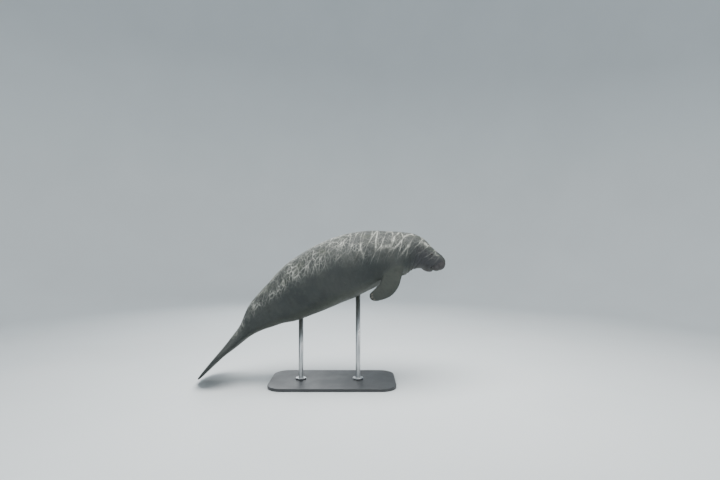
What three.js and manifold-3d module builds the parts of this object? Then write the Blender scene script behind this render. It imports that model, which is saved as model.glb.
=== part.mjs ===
// A Florida manatee at life size, as if swimming with its tail low, on a plain display stand.
// Millimetres, +Z up. The head points along +X, and the animal's right side faces -Y.
// The origin is on the floor, under the middle of the whole model.
import * as THREE from "three";
import { LoftGeometry } from "three/addons/geometries/LoftGeometry.js";
import { mergeVertices } from "three/addons/utils/BufferGeometryUtils.js";
import Module from "manifold-3d";

const GAP = 0.3; // left between pieces that touch
const TAIL_CLEARANCE = 30; // from the floor to the tip of the tail

// The midline of the body, from the tip of the tail to the snout. x and z are measured from the tail tip,
// up and down are the heights of the back and the belly off the midline, and square is the
// exponent of the section: 2 is an ellipse, and more is squarer.
const STATIONS = [
  { x: 0, z: 0, up: 8, down: 8, width: 545, square: 2.6 }, // tail tip
  { x: 120, z: 128, up: 17, down: 17, width: 600, square: 2.6 },
  { x: 228, z: 243, up: 27, down: 30, width: 610, square: 2.6 }, // widest part of the paddle
  { x: 345, z: 364, up: 45, down: 56, width: 505, square: 2.5 },
  { x: 464, z: 486, up: 76, down: 80, width: 365, square: 2.3 }, // waist of the tail
  { x: 613, z: 637, up: 156, down: 160, width: 405, square: 2.15 },
  { x: 737, z: 717, up: 205, down: 191, width: 486, square: 2.15 },
  { x: 861, z: 790, up: 250, down: 240, width: 560, square: 2.1 }, // loin
  { x: 1069, z: 926, up: 296, down: 294, width: 655, square: 2.1 },
  { x: 1252, z: 1021, up: 316, down: 310, width: 695, square: 2.1 }, // belly
  { x: 1433, z: 1103, up: 316, down: 317, width: 695, square: 2.1 },
  { x: 1603, z: 1164, up: 302, down: 297, width: 665, square: 2.1 },
  { x: 1757, z: 1204, up: 276, down: 270, width: 612, square: 2.1 }, // chest
  { x: 1912, z: 1227, up: 243, down: 238, width: 545, square: 2.1 }, // shoulder
  { x: 2020, z: 1240, up: 223, down: 214, width: 482, square: 2.1 },
  { x: 2094, z: 1244, up: 204, down: 190, width: 430, square: 2.15 }, // neck
  { x: 2150, z: 1236, up: 187, down: 166, width: 386, square: 2.2 },
  { x: 2192, z: 1222, up: 168, down: 142, width: 350, square: 2.25 }, // back of the skull
  { x: 2245, z: 1198, up: 138, down: 112, width: 310, square: 2.3 }, // eyes
  { x: 2303, z: 1168, up: 119, down: 96, width: 272, square: 2.4 },
  { x: 2359, z: 1140, up: 107, down: 62, width: 230, square: 2.4 }, // muzzle
  { x: 2395, z: 1122, up: 97, down: 38, width: 210, square: 2.4 },
  { x: 2437, z: 1103, up: 86, down: 24, width: 198, square: 2.4 }, // snout
];
const PADDLE_ROUND = 330; // length over which the paddle's outline rounds off
const PADDLE_POWER = 2.15;
const PADDLE_EDGE = 14; // length over which its thickness does
const SNOUT_ROUND = 78;
const SNOUT_POWER_UP = 1.75; // side view of the snout's end
const SNOUT_POWER_OUT = 2.5; // top view of it

// Where the body is parted, as distances along the midline from the tail tip.
const TAIL_WAIST = 610;
const LOIN = 985;
const BELLY = 1420;
const CHEST = 1860;
const NECK = 2420;
const HEAD = 2550;

// Folds of skin that ring the neck and throat, measured back from the snout. They are deepest
// under the throat, fade towards the nape, and lean forwards by lean from throat to nape.
const FOLDS = [
  { back: 640, lean: -60, depth: 6, width: 15 },
  { back: 556, lean: -50, depth: 8, width: 14 },
  { back: 480, lean: -40, depth: 9, width: 13 },
  { back: 408, lean: -30, depth: 8, width: 12 },
  { back: 338, lean: -34, depth: 11, width: 13 },
  { back: 286, lean: -46, depth: 6, width: 9 },
];
const FOLD_TOP = 0.12; // the share of a fold's depth that is left on the nape

// Places on the head, in a frame at the eyes' station: forward along the snout, up off it, out to each side.
const EYE_STATION = 18;
const HEAD_ORIGIN = STATIONS[EYE_STATION];
const HEAD_PITCH = THREE.MathUtils.degToRad(-27.2);
const EYE = { forward: 24, up: 58, radius: 13, sink: 11 };
const LID = { ring: 13, roll: 5.5, flat: 0.8 };
const BROW = { ring: 25, roll: 5, flat: 0.6 };
const EAR = { forward: -96, up: 60, radius: 4 };
const NOSTRIL = { back: 36, angle: 31, rim: 24, height: 7, slit: 13, slitRadius: 3.5 };
const LIP_PAD = { forward: 145, up: 10, out: 50, long: 65, high: 58, wide: 62 };
const LIP_DROOP = { forward: 104, up: -29, out: 66, long: 74, high: 42, wide: 50 };
const CHIN = { forward: 54, up: -66, long: 76, high: 46, wide: 84 };
const MOUTH = [[190, -22], [150, -40], [100, -60], [62, -62], [40, -58]]; // forward, up
const MOUTH_GROOVE = 4.5;
const JAW_BACK = [[18, -70], [-4, -100], [-30, -190]];

// The right flipper, from inside the shoulder to its tip. wide runs across it and thick through it.
const FLIPPER = [
  { x: 1944, y: -150, z: 1172, wide: 150, thick: 92 },
  { x: 1930, y: -210, z: 1108, wide: 146, thick: 84 }, // shoulder
  { x: 1919, y: -244, z: 1040, wide: 150, thick: 68 },
  { x: 1892, y: -262, z: 975, wide: 163, thick: 54 }, // elbow
  { x: 1844, y: -272, z: 912, wide: 156, thick: 43 }, // wrist
  { x: 1771, y: -270, z: 868, wide: 126, thick: 33 },
  { x: 1690, y: -260, z: 835, wide: 98, thick: 22 }, // tip
];
const FLIPPER_ROUND = 74;
const SHOULDER = FLIPPER[1];
const LEFT_SWING = THREE.MathUtils.degToRad(11); // the left flipper is swung this much further forward
// The three nails, each set back from the tip, at a share of the half width off the middle.
const NAILS = [
  { back: 36, across: 0.64 },
  { back: 24, across: 0.12 },
  { back: 32, across: -0.42 },
];
const NAIL = { long: 13, wide: 8.5, high: 5 };

// The stand: a flat base with two rods up to the loin and the belly.
const BASE = { x: 1330, long: 1240, wide: 660, thick: 30, corner: 150, bevel: 4 };
const RODS = { rear: 1010, front: 1580 };
const ROD_RADIUS = 23;
const ROD_TOP = 1000; // inside the body, which the rod is cut to
const FOOT = { radius: 52, height: 16 };

const wasm = await Module();
wasm.setup();

// A three.js geometry as a solid: the vertices that share a place are merged, and flat faces dropped.
function solidOf(geometry) {
  const bare = new THREE.BufferGeometry().setAttribute("position", geometry.attributes.position);
  const merged = mergeVertices(bare.setIndex(geometry.index), 1e-3);
  const corners = merged.index.array;
  const kept = [];
  for (let i = 0; i < corners.length; i += 3) {
    const [a, b, c] = [corners[i], corners[i + 1], corners[i + 2]];
    if (a !== b && b !== c && a !== c) kept.push(a, b, c);
  }
  const vertProperties = merged.attributes.position.array;
  const made = new wasm.Manifold(new wasm.Mesh({ numProp: 3, vertProperties, triVerts: new Uint32Array(kept) }));
  if (made.volume() > 0) return made;
  for (let i = 0; i < kept.length; i += 3) [kept[i], kept[i + 1]] = [kept[i + 1], kept[i]];
  return new wasm.Manifold(new wasm.Mesh({ numProp: 3, vertProperties, triVerts: new Uint32Array(kept) }));
}

// The largest closed body of a solid, as a three.js geometry.
function geometryOf(solid) {
  const [largest] = solid.decompose().sort((a, b) => b.volume() - a.volume());
  const { numProp, numVert, vertProperties, triVerts } = largest.getMesh();
  const places = new Float32Array(numVert * 3);
  for (let i = 0; i < numVert; i++) places.set(vertProperties.subarray(i * numProp, i * numProp + 3), i * 3);
  const geometry = new THREE.BufferGeometry();
  geometry.setAttribute("position", new THREE.BufferAttribute(places, 3));
  geometry.setIndex(new THREE.BufferAttribute(new Uint32Array(triVerts), 1));
  geometry.computeVertexNormals();
  return geometry;
}

const union = (...solids) => solids.reduce((all, next) => all.add(next));

// A smooth curve through one named size of some stations, at distance s along them.
function smooth(stations, reach, column, s) {
  const last = stations.length - 1;
  const slope = (k) => {
    const rise = (i) => (stations[i + 1][column] - stations[i][column]) / (reach[i + 1] - reach[i]);
    if (k === 0) return rise(0);
    if (k === last) return rise(last - 1);
    const [before, after] = [reach[k] - reach[k - 1], reach[k + 1] - reach[k]];
    return (rise(k - 1) * after + rise(k) * before) / (before + after);
  };
  let k = 0;
  while (k < last - 1 && s > reach[k + 1]) k++;
  const span = reach[k + 1] - reach[k];
  const t = (s - reach[k]) / span;
  const [a, b] = [stations[k][column], stations[k + 1][column]];
  const [m, n] = [slope(k) * span, slope(k + 1) * span];
  return a + t * (m + t * (3 * (b - a) - 2 * m - n + t * (2 * (a - b) + m + n)));
}

function distances(stations) {
  const reach = [0];
  for (let k = 1; k < stations.length; k++) {
    const [a, b] = [stations[k - 1], stations[k]];
    reach.push(reach[k - 1] + Math.hypot(b.x - a.x, (b.y ?? 0) - (a.y ?? 0), b.z - a.z));
  }
  return reach;
}

const REACH = distances(STATIONS);
const LENGTH = REACH.at(-1);
const along = (column, s) => smooth(STATIONS, REACH, column, s);

// The share of full size at share q of the way in from a rounded end.
const rounded = (q, power) => (q >= 1 ? 1 : (1 - (1 - Math.max(q, 0)) ** power) ** (1 / power));

// How deep the folds of skin are at distance s, at an angle from the back.
function foldDepth(s, angle) {
  const low = (1 - Math.cos(angle)) / 2;
  let depth = 0;
  for (const fold of FOLDS) {
    const offset = (s - (LENGTH - fold.back) - fold.lean * (low - 1)) / fold.width;
    depth += fold.depth * (FOLD_TOP + (1 - FOLD_TOP) * low) * Math.exp(-offset * offset);
  }
  return depth;
}

// The frame and the sizes of the section at distance s.
function sectionAt(s) {
  const [behind, ahead] = [Math.max(s - 1, 0), Math.min(s + 1, LENGTH)];
  const heading = Math.atan2(along("z", ahead) - along("z", behind), along("x", ahead) - along("x", behind));
  const [up, down] = [along("up", s), along("down", s)];
  const fromSnout = (LENGTH - s) / SNOUT_ROUND;
  return {
    place: new THREE.Vector3(along("x", s), 0, along("z", s)),
    upward: new THREE.Vector3(-Math.sin(heading), 0, Math.cos(heading)),
    middle: (up - down) / 2,
    high: ((up + down) / 2) * rounded(s / PADDLE_EDGE, 2) * rounded(fromSnout, SNOUT_POWER_UP),
    wide: (along("width", s) / 2) * rounded(s / PADDLE_ROUND, PADDLE_POWER) * rounded(fromSnout, SNOUT_POWER_OUT),
    power: 2 / along("square", s),
  };
}

const bent = (value, power) => Math.sign(value) * Math.abs(value) ** power;

// The skin at distance s and an angle from the back, positive on the left. grow stands it off.
function skin(s, angle, grow = 0) {
  const { place, upward, middle, high, wide, power } = sectionAt(s);
  const proud = grow - foldDepth(s, angle);
  const out = (wide + proud) * bent(Math.sin(angle), power);
  const rise = middle + (high + proud) * bent(Math.cos(angle), power);
  return new THREE.Vector3(0, out, 0).add(place).addScaledVector(upward, rise);
}

// One length of the body as a solid, with flat ends square to the midline.
function lengthOfBody(places, sides, grow = 0) {
  const rings = places.map((s) =>
    Array.from({ length: sides }, (_, i) => skin(s, (-i / sides) * 2 * Math.PI, grow)),
  );
  return solidOf(new LoftGeometry(rings, { capStart: true, capEnd: true }));
}

// Places for rings from one distance to another, even, or closer together towards a rounded end.
function ringPlaces(from, to, count, closeTo = "") {
  const ease = {
    "": (t) => t,
    start: (t) => 1 - Math.cos((t * Math.PI) / 2),
    end: (t) => Math.sin((t * Math.PI) / 2),
  }[closeTo];
  return Array.from({ length: count + 1 }, (_, i) => from + (to - from) * ease(i / count));
}

const HALF_GAP = GAP / 2;
const TIP_CUT = 1.5; // the rounded ends stop this far short, in a small flat
const TRUNK_SIDES = 40;
const LENGTHS = {
  tail_paddle: { places: ringPlaces(TIP_CUT, TAIL_WAIST - HALF_GAP, 18, "start"), sides: 32 },
  tail_stock: { places: ringPlaces(TAIL_WAIST + HALF_GAP, LOIN - HALF_GAP, 7), sides: 36 },
  loin: { places: ringPlaces(LOIN + HALF_GAP, BELLY - HALF_GAP, 7), sides: TRUNK_SIDES },
  belly: { places: ringPlaces(BELLY + HALF_GAP, CHEST - HALF_GAP, 7), sides: TRUNK_SIDES },
  chest: {
    places: [...ringPlaces(CHEST + HALF_GAP, NECK - 220, 5), ...ringPlaces(NECK - 202, NECK - HALF_GAP, 14)],
    sides: TRUNK_SIDES,
  },
  neck: { places: ringPlaces(NECK + HALF_GAP, HEAD - HALF_GAP, 12), sides: TRUNK_SIDES },
  head: {
    places: [
      ...ringPlaces(HEAD + HALF_GAP, LENGTH - SNOUT_ROUND, 14),
      ...ringPlaces(LENGTH - SNOUT_ROUND + 10, LENGTH - TIP_CUT, 7, "end"),
    ],
    sides: 44,
  },
};
const flesh = (name) => lengthOfBody(LENGTHS[name].places, LENGTHS[name].sides);

// Lengths of the trunk that follow one another, as one solid that stands off them by the gap.
function grownTrunk(...names) {
  return lengthOfBody(names.flatMap((name) => LENGTHS[name].places), TRUNK_SIDES, GAP);
}

// A place given in the head's own frame, as a point of the model.
function headPoint(forward, up, out) {
  const [c, s] = [Math.cos(HEAD_PITCH), Math.sin(HEAD_PITCH)];
  return new THREE.Vector3(HEAD_ORIGIN.x + forward * c - up * s, out, HEAD_ORIGIN.z + forward * s + up * c);
}

// The skin beside a place of the head: how far out it lies, and the way that it faces.
function headSkin(forward, up, side) {
  const s = REACH[EYE_STATION] + forward;
  const section = sectionAt(s);
  const share = THREE.MathUtils.clamp((up - section.middle) / section.high, -1, 1);
  const angle = side * Math.acos(bent(share, 1 / section.power));
  const place = skin(s, angle);
  const ahead = skin(s + 2, angle).sub(place);
  const around = skin(s, angle + 0.02).sub(place);
  return { place, facing: ahead.cross(around).normalize() };
}

// A sphere stretched to three sizes along the head's own axes. grow stands it off.
function headBulge({ forward, up, long, high, wide }, out, grow = 0) {
  const geometry = new THREE.SphereGeometry(1, 16, 10).scale(long + grow, wide + grow, high + grow);
  geometry.applyMatrix4(new THREE.Matrix4().makeRotationY(-HEAD_PITCH));
  const centre = headPoint(forward, up, out);
  return solidOf(geometry.translate(centre.x, centre.y, centre.z));
}

// A round tube through some points, closed at both ends.
function tube(points, radius, steps) {
  const circle = new THREE.Shape().absarc(0, 0, radius, 0, 2 * Math.PI);
  const extrudePath = new THREE.CatmullRomCurve3(points);
  return solidOf(new THREE.ExtrudeGeometry(circle, { extrudePath, steps, curveSegments: 3 }));
}

// Turns a shape that faces +Z to face a given way, at a given place.
function faceOut(geometry, place, facing) {
  const turn = new THREE.Quaternion().setFromUnitVectors(new THREE.Vector3(0, 0, 1), facing);
  return geometry.applyQuaternion(turn).translate(place.x, place.y, place.z);
}

const SIDES = { left: 1, right: -1 };

function eyeBall(side, grow = 0) {
  const { place, facing } = headSkin(EYE.forward, EYE.up, side);
  const centre = place.clone().addScaledVector(facing, -EYE.sink);
  return solidOf(faceOut(new THREE.SphereGeometry(EYE.radius + grow, 14, 10), centre, facing));
}

// The rolls of skin round an eye: the lids, and a wider, lower fold outside them.
function eyeRolls(side) {
  const { place, facing } = headSkin(EYE.forward, EYE.up, side);
  const roll = ({ ring, roll, flat }, sink) =>
    solidOf(
      faceOut(
        new THREE.TorusGeometry(ring, roll, 6, 16).scale(1, 1, flat),
        place.clone().addScaledVector(facing, -sink),
        facing,
      ),
    );
  return union(roll(LID, 0.5), roll(BROW, 2));
}

function earPit(side) {
  const { place } = headSkin(EAR.forward, EAR.up, side);
  return solidOf(new THREE.SphereGeometry(EAR.radius, 8, 6).translate(place.x, place.y, place.z));
}

// A nostril: a low round valve on the snout's top, with a crescent slit cut in it.
function nostril(side) {
  const s = LENGTH - NOSTRIL.back;
  const angle = side * THREE.MathUtils.degToRad(NOSTRIL.angle);
  const place = skin(s, angle);
  const facing = skin(s + 2, angle).sub(place).cross(skin(s, angle + 0.02).sub(place)).normalize();
  const valve = new THREE.SphereGeometry(1, 14, 8).scale(NOSTRIL.rim, NOSTRIL.rim, NOSTRIL.height);
  const forward = new THREE.Vector3(1, 0, 0).projectOnPlane(facing).normalize();
  const sideways = new THREE.Vector3().crossVectors(facing, forward);
  const slit = Array.from({ length: 7 }, (_, i) => {
    const turn = THREE.MathUtils.degToRad(-100 + i * 33);
    return place
      .clone()
      .addScaledVector(forward, NOSTRIL.slit * Math.cos(turn))
      .addScaledVector(sideways, NOSTRIL.slit * Math.sin(turn))
      .addScaledVector(facing, NOSTRIL.height - 1);
  });
  return { valve: solidOf(faceOut(valve, place, facing)), slit: tube(slit, NOSTRIL.slitRadius, 10) };
}

// An outline in the head's forward and up, as a solid that runs right across the head.
function acrossHead(outline) {
  const shape = new THREE.Shape(outline.map(([forward, up]) => new THREE.Vector2(forward, up)));
  const across = 400;
  const geometry = new THREE.ExtrudeGeometry(shape, { depth: across, bevelEnabled: false });
  geometry.translate(0, 0, -across / 2);
  const origin = headPoint(0, 0, 0);
  const ahead = headPoint(1, 0, 0).sub(origin);
  const above = headPoint(0, 1, 0).sub(origin);
  const basis = new THREE.Matrix4().makeBasis(ahead, above, ahead.clone().cross(above)).setPosition(origin);
  return solidOf(geometry.applyMatrix4(basis));
}

// The outline of the lower jaw's side of the mouth, drawn back by clear on the upper side.
function jawOutline(clear) {
  const lips = MOUTH.map(([forward, up]) => [forward, up + clear]);
  const back = JAW_BACK.map(([forward, up]) => [forward - clear, up]);
  return [...lips, ...back, [230, -190], [230, lips[0][1]]];
}

// The line of the mouth, as a tube along the skin of one side.
function mouthGroove(whole, side) {
  const mesh = new THREE.Mesh(geometryOf(whole), new THREE.MeshBasicMaterial({ side: THREE.DoubleSide }));
  const reach = 260;
  const inward = new THREE.Vector3(0, -side, 0);
  const points = MOUTH.map(([forward, up]) => {
    const outside = headPoint(forward, up, side * reach);
    const [hit] = new THREE.Raycaster(outside, inward, 0, reach).intersectObject(mesh);
    return hit ? hit.point : headSkin(forward, up, side).place;
  });
  return tube(points, MOUTH_GROOVE, 12);
}

// The pads of the upper lip on both sides, which hang over the lower jaw. grow stands them off.
function lips(grow = 0) {
  return union(
    ...Object.values(SIDES).flatMap((side) => [
      headBulge(LIP_PAD, side * LIP_PAD.out, grow),
      headBulge(LIP_DROOP, side * LIP_DROOP.out, grow),
    ]),
  );
}

function headSolids() {
  const sides = Object.values(SIDES);
  const whole = flesh("head").add(headBulge(CHIN, 0));
  const grooves = union(...sides.map((side) => mouthGroove(whole, side)));
  let head = union(whole.subtract(acrossHead(jawOutline(GAP))), lips());
  for (const side of sides) {
    const { valve, slit } = nostril(side);
    head = union(head, eyeRolls(side), valve).subtract(slit).subtract(earPit(side)).subtract(eyeBall(side, GAP));
  }
  const jaw = whole.intersect(acrossHead(jawOutline(0))).subtract(lips(GAP));
  return { head: head.subtract(grooves), lower_jaw: jaw.subtract(grooves) };
}

const FLIPPER_REACH = distances(FLIPPER);
const FLIPPER_LENGTH = FLIPPER_REACH.at(-1);

function swungForward({ x, y, z }) {
  const [forward, up] = [x - SHOULDER.x, z - SHOULDER.z];
  const [c, s] = [Math.cos(LEFT_SWING), Math.sin(LEFT_SWING)];
  return new THREE.Vector3(SHOULDER.x + forward * c - up * s, y, SHOULDER.z + forward * s + up * c);
}

// A point of a flipper's skin at distance s along it, at an angle from its leading edge.
function flipperSkin(s, angle, side, grow = 0) {
  const at = (place) =>
    new THREE.Vector3(...["x", "y", "z"].map((column) => smooth(FLIPPER, FLIPPER_REACH, column, place)));
  const place = at(s);
  const tangent = at(Math.min(s + 2, FLIPPER_LENGTH)).sub(at(Math.max(s - 2, 0))).normalize();
  const through = new THREE.Vector3(0, -1, 0).projectOnPlane(tangent).normalize();
  const leading = new THREE.Vector3().crossVectors(through, tangent);
  const end = (FLIPPER_LENGTH - s) / FLIPPER_ROUND;
  const wide = (smooth(FLIPPER, FLIPPER_REACH, "wide", s) / 2) * rounded(end, 2.3);
  const thick = (smooth(FLIPPER, FLIPPER_REACH, "thick", s) / 2) * rounded(end * 2.5, 2);
  const thin = 1 + 0.28 * Math.cos(angle); // the leading edge is the thicker one
  const point = place
    .addScaledVector(leading, (wide + grow) * Math.cos(angle))
    .addScaledVector(through, (thick + grow) * Math.sin(angle) * thin);
  point.y *= -side;
  return side === SIDES.left ? swungForward(point) : point;
}

function flipperLoft(side, grow = 0) {
  const places = [
    ...ringPlaces(0, FLIPPER_LENGTH - FLIPPER_ROUND, 10),
    ...ringPlaces(FLIPPER_LENGTH - FLIPPER_ROUND + 12, FLIPPER_LENGTH - TIP_CUT, 5, "end"),
  ];
  const sides = 20;
  const rings = places.map((s) =>
    Array.from({ length: sides }, (_, i) => flipperSkin(s, ((-side * i) / sides) * 2 * Math.PI, side, grow)),
  );
  return solidOf(new LoftGeometry(rings, { capStart: true, capEnd: true }));
}

// One nail, lying on the outer face of a flipper close to its tip.
function nail({ back, across }, side) {
  const s = FLIPPER_LENGTH - back;
  const angle = Math.acos(across);
  const place = flipperSkin(s, angle, side);
  const ahead = place.clone().sub(flipperSkin(s - 6, angle, side)).normalize();
  const aside = flipperSkin(s, angle + 0.1, side).sub(place).normalize();
  const facing = new THREE.Vector3().crossVectors(ahead, aside).normalize();
  const basis = new THREE.Matrix4()
    .makeBasis(ahead, new THREE.Vector3().crossVectors(facing, ahead), facing)
    .setPosition(place);
  const geometry = new THREE.SphereGeometry(1, 10, 6).scale(NAIL.long, NAIL.wide, NAIL.high);
  return solidOf(geometry.applyMatrix4(basis)).subtract(flipperLoft(side, GAP));
}

function baseSolid() {
  const { long, wide, thick, corner, bevel } = BASE;
  const [x, y] = [long / 2 - bevel, wide / 2 - bevel];
  const outline = new THREE.Shape();
  outline.moveTo(-x + corner, -y);
  outline.lineTo(x - corner, -y).absarc(x - corner, -y + corner, corner, -Math.PI / 2, 0);
  outline.lineTo(x, y - corner).absarc(x - corner, y - corner, corner, 0, Math.PI / 2);
  outline.lineTo(-x + corner, y).absarc(-x + corner, y - corner, corner, Math.PI / 2, Math.PI);
  outline.lineTo(-x, -y + corner).absarc(-x + corner, -y + corner, corner, Math.PI, 1.5 * Math.PI);
  const geometry = new THREE.ExtrudeGeometry(outline, {
    depth: thick - 2 * bevel,
    bevelThickness: bevel,
    bevelSize: bevel,
    bevelSegments: 1,
    curveSegments: 5,
  });
  return solidOf(geometry.translate(BASE.x, 0, bevel));
}

// A rod on a wider round foot, standing on the base and cut to the underside of the body.
function rodSolid(x, body) {
  const bottom = BASE.thick + GAP;
  const profile = [
    [0, bottom],
    [FOOT.radius, bottom],
    [FOOT.radius, bottom + FOOT.height * 0.6],
    [FOOT.radius * 0.85, bottom + FOOT.height],
    [ROD_RADIUS, bottom + FOOT.height],
    [ROD_RADIUS, ROD_TOP],
    [0, ROD_TOP],
  ].map(([radius, z]) => new THREE.Vector2(radius, z));
  const lathe = new THREE.LatheGeometry(profile, 20).rotateX(Math.PI / 2).translate(x, 0, 0);
  return solidOf(lathe).subtract(body);
}

const COLOURS = {
  skin: new THREE.MeshStandardMaterial({ color: 0x6c706a, roughness: 0.62, metalness: 0 }),
  eye: new THREE.MeshStandardMaterial({ color: 0x17120f, roughness: 0.12, metalness: 0 }),
  nail: new THREE.MeshStandardMaterial({ color: 0xa79d8a, roughness: 0.45, metalness: 0 }),
  base: new THREE.MeshStandardMaterial({ color: 0x2b2d2f, roughness: 0.45, metalness: 0 }),
  rod: new THREE.MeshStandardMaterial({ color: 0xb9bcc0, roughness: 0.3, metalness: 0.9 }),
};

const LIFT = TAIL_CLEARANCE + 8; // the paddle's lower face hangs a little under the midline's end

const group = new THREE.Group();
const animal = new THREE.Group();
animal.position.z = LIFT;
group.add(animal);

function addMesh(parent, name, solid, material) {
  const mesh = new THREE.Mesh(geometryOf(solid), material);
  mesh.name = name;
  parent.add(mesh);
}

const torso = ["tail_paddle", "tail_stock", "loin", "belly", "chest", "neck"];
for (const name of torso) addMesh(animal, name, flesh(name), COLOURS.skin);
for (const [name, solid] of Object.entries(headSolids())) addMesh(animal, name, solid, COLOURS.skin);

const shoulders = grownTrunk("belly", "chest", "neck");
for (const [label, side] of Object.entries(SIDES)) {
  addMesh(animal, `flipper_${label}`, flipperLoft(side).subtract(shoulders), COLOURS.skin);
  addMesh(animal, `eye_${label}`, eyeBall(side), COLOURS.eye);
  NAILS.forEach((each, i) => addMesh(animal, `nail_${label}_${i + 1}`, nail(each, side), COLOURS.nail));
}

addMesh(group, "stand_base", baseSolid(), COLOURS.base);
const underside = grownTrunk("loin", "belly", "chest").translate([0, 0, LIFT]);
for (const [label, x] of Object.entries(RODS)) {
  addMesh(group, `stand_rod_${label}`, rodSolid(x, underside), COLOURS.rod);
}

// The origin is put on the floor under the middle of the whole model.
group.updateMatrixWorld(true);
const middle = new THREE.Box3().setFromObject(group, true).getCenter(new THREE.Vector3());
group.position.set(-middle.x, -middle.y, 0);

export default group;
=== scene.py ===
"""A Florida manatee at life size on a plain display stand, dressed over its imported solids.

Metres, +Z up, in the solids' own frame: the head points along +X, and the animal's right side faces
-Y. One skin covers every length of flesh. Eyes, nails, bristles, hairs and the stand are their own pieces.
"""

import math

import bmesh
import bpy
import numpy as np
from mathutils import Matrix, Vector, kdtree


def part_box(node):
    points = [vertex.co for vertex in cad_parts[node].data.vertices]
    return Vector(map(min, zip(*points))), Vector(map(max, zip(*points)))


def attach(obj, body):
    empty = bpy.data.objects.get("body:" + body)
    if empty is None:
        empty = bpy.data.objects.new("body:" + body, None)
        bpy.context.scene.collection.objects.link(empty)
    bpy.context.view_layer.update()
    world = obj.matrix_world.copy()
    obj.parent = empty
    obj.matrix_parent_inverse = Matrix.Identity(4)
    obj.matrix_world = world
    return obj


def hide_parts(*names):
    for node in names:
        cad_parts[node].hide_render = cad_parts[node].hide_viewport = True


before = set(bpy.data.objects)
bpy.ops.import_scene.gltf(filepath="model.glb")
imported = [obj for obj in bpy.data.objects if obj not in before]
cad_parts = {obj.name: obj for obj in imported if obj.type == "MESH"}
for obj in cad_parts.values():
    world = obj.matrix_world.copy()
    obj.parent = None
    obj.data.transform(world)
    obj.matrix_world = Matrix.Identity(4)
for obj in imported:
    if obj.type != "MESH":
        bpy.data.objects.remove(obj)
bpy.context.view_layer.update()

# Where the body's own origin, the tip of the tail, lies in the model.
BASE_MIDDLE = 1.330  # from the tail tip to the middle of the stand's base
TAIL_LIFT = 0.038
base_low, base_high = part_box("stand_base")
ORIGIN = np.array([(base_low.x + base_high.x) / 2 - BASE_MIDDLE, 0.0, TAIL_LIFT])

# The midline from the tail tip to the snout: place, height of back and belly off it, width,
# and the exponent of the section.
COLUMNS = ("x", "z", "up", "down", "width", "square")
STATIONS = [
    (0.000, 0.000, 0.008, 0.008, 0.545, 2.60),  # tail tip
    (0.120, 0.128, 0.017, 0.017, 0.600, 2.60),
    (0.228, 0.243, 0.027, 0.030, 0.610, 2.60),  # widest part of the paddle
    (0.345, 0.364, 0.045, 0.056, 0.505, 2.50),
    (0.464, 0.486, 0.076, 0.080, 0.365, 2.30),  # waist of the tail
    (0.613, 0.637, 0.156, 0.160, 0.405, 2.15),
    (0.737, 0.717, 0.205, 0.191, 0.486, 2.15),
    (0.861, 0.790, 0.250, 0.240, 0.560, 2.10),  # loin
    (1.069, 0.926, 0.296, 0.294, 0.655, 2.10),
    (1.252, 1.021, 0.316, 0.310, 0.695, 2.10),  # belly
    (1.433, 1.103, 0.316, 0.317, 0.695, 2.10),
    (1.603, 1.164, 0.302, 0.297, 0.665, 2.10),
    (1.757, 1.204, 0.276, 0.270, 0.612, 2.10),  # chest
    (1.912, 1.227, 0.243, 0.238, 0.545, 2.10),  # shoulder
    (2.020, 1.240, 0.223, 0.214, 0.482, 2.10),
    (2.094, 1.244, 0.204, 0.190, 0.430, 2.15),  # neck
    (2.150, 1.236, 0.187, 0.166, 0.386, 2.20),
    (2.192, 1.222, 0.168, 0.142, 0.350, 2.25),  # back of the skull
    (2.245, 1.198, 0.138, 0.112, 0.310, 2.30),  # eyes
    (2.303, 1.168, 0.119, 0.096, 0.272, 2.40),
    (2.359, 1.140, 0.107, 0.062, 0.230, 2.40),  # muzzle
    (2.395, 1.122, 0.097, 0.038, 0.210, 2.40),
    (2.437, 1.103, 0.086, 0.024, 0.198, 2.40),  # snout
]
EYE_STATION = 18  # the row of STATIONS that lies at the eyes
PADDLE_ROUND, PADDLE_POWER, PADDLE_EDGE = 0.330, 2.15, 0.014
SNOUT_ROUND, SNOUT_POWER_UP, SNOUT_POWER_OUT = 0.078, 1.75, 2.5
TIP_CUT = 0.0015  # how far from the very ends the first and last rings lie
THIN = 0.004  # the least half size that a place is measured against

# Folds that ring the neck and throat: distance back from the snout, lean, depth and width.
FOLDS = [
    (0.640, -0.060, 0.006, 0.015),
    (0.556, -0.050, 0.008, 0.014),
    (0.480, -0.040, 0.009, 0.013),
    (0.408, -0.030, 0.008, 0.012),
    (0.338, -0.034, 0.011, 0.013),
    (0.286, -0.046, 0.006, 0.009),
]
FOLD_TOP = 0.12  # how much of a fold's depth is left on the back

# Places on the head: forward along the snout, up off it and out to a side, from the eyes' station.
HEAD_PITCH = math.radians(-27.2)
EYE_PLACE = (0.024, 0.058)
EYE_RADIUS, EYE_SINK = 0.013, 0.011
EAR_PLACE = (-0.096, 0.060)
NOSTRIL_BACK, NOSTRIL_ANGLE = 0.036, math.radians(31)
LIP_PAD = dict(place=(0.145, 0.050, 0.010), size=(0.065, 0.062, 0.058))
LIP_DROOP = dict(place=(0.104, 0.066, -0.029), size=(0.074, 0.050, 0.042))
CHIN = dict(place=(0.054, 0.0, -0.066), size=(0.076, 0.084, 0.046))
MOUTH_CORNER = [(0.100, -0.060), (0.062, -0.062), (0.040, -0.058), (0.022, -0.052)]

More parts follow.
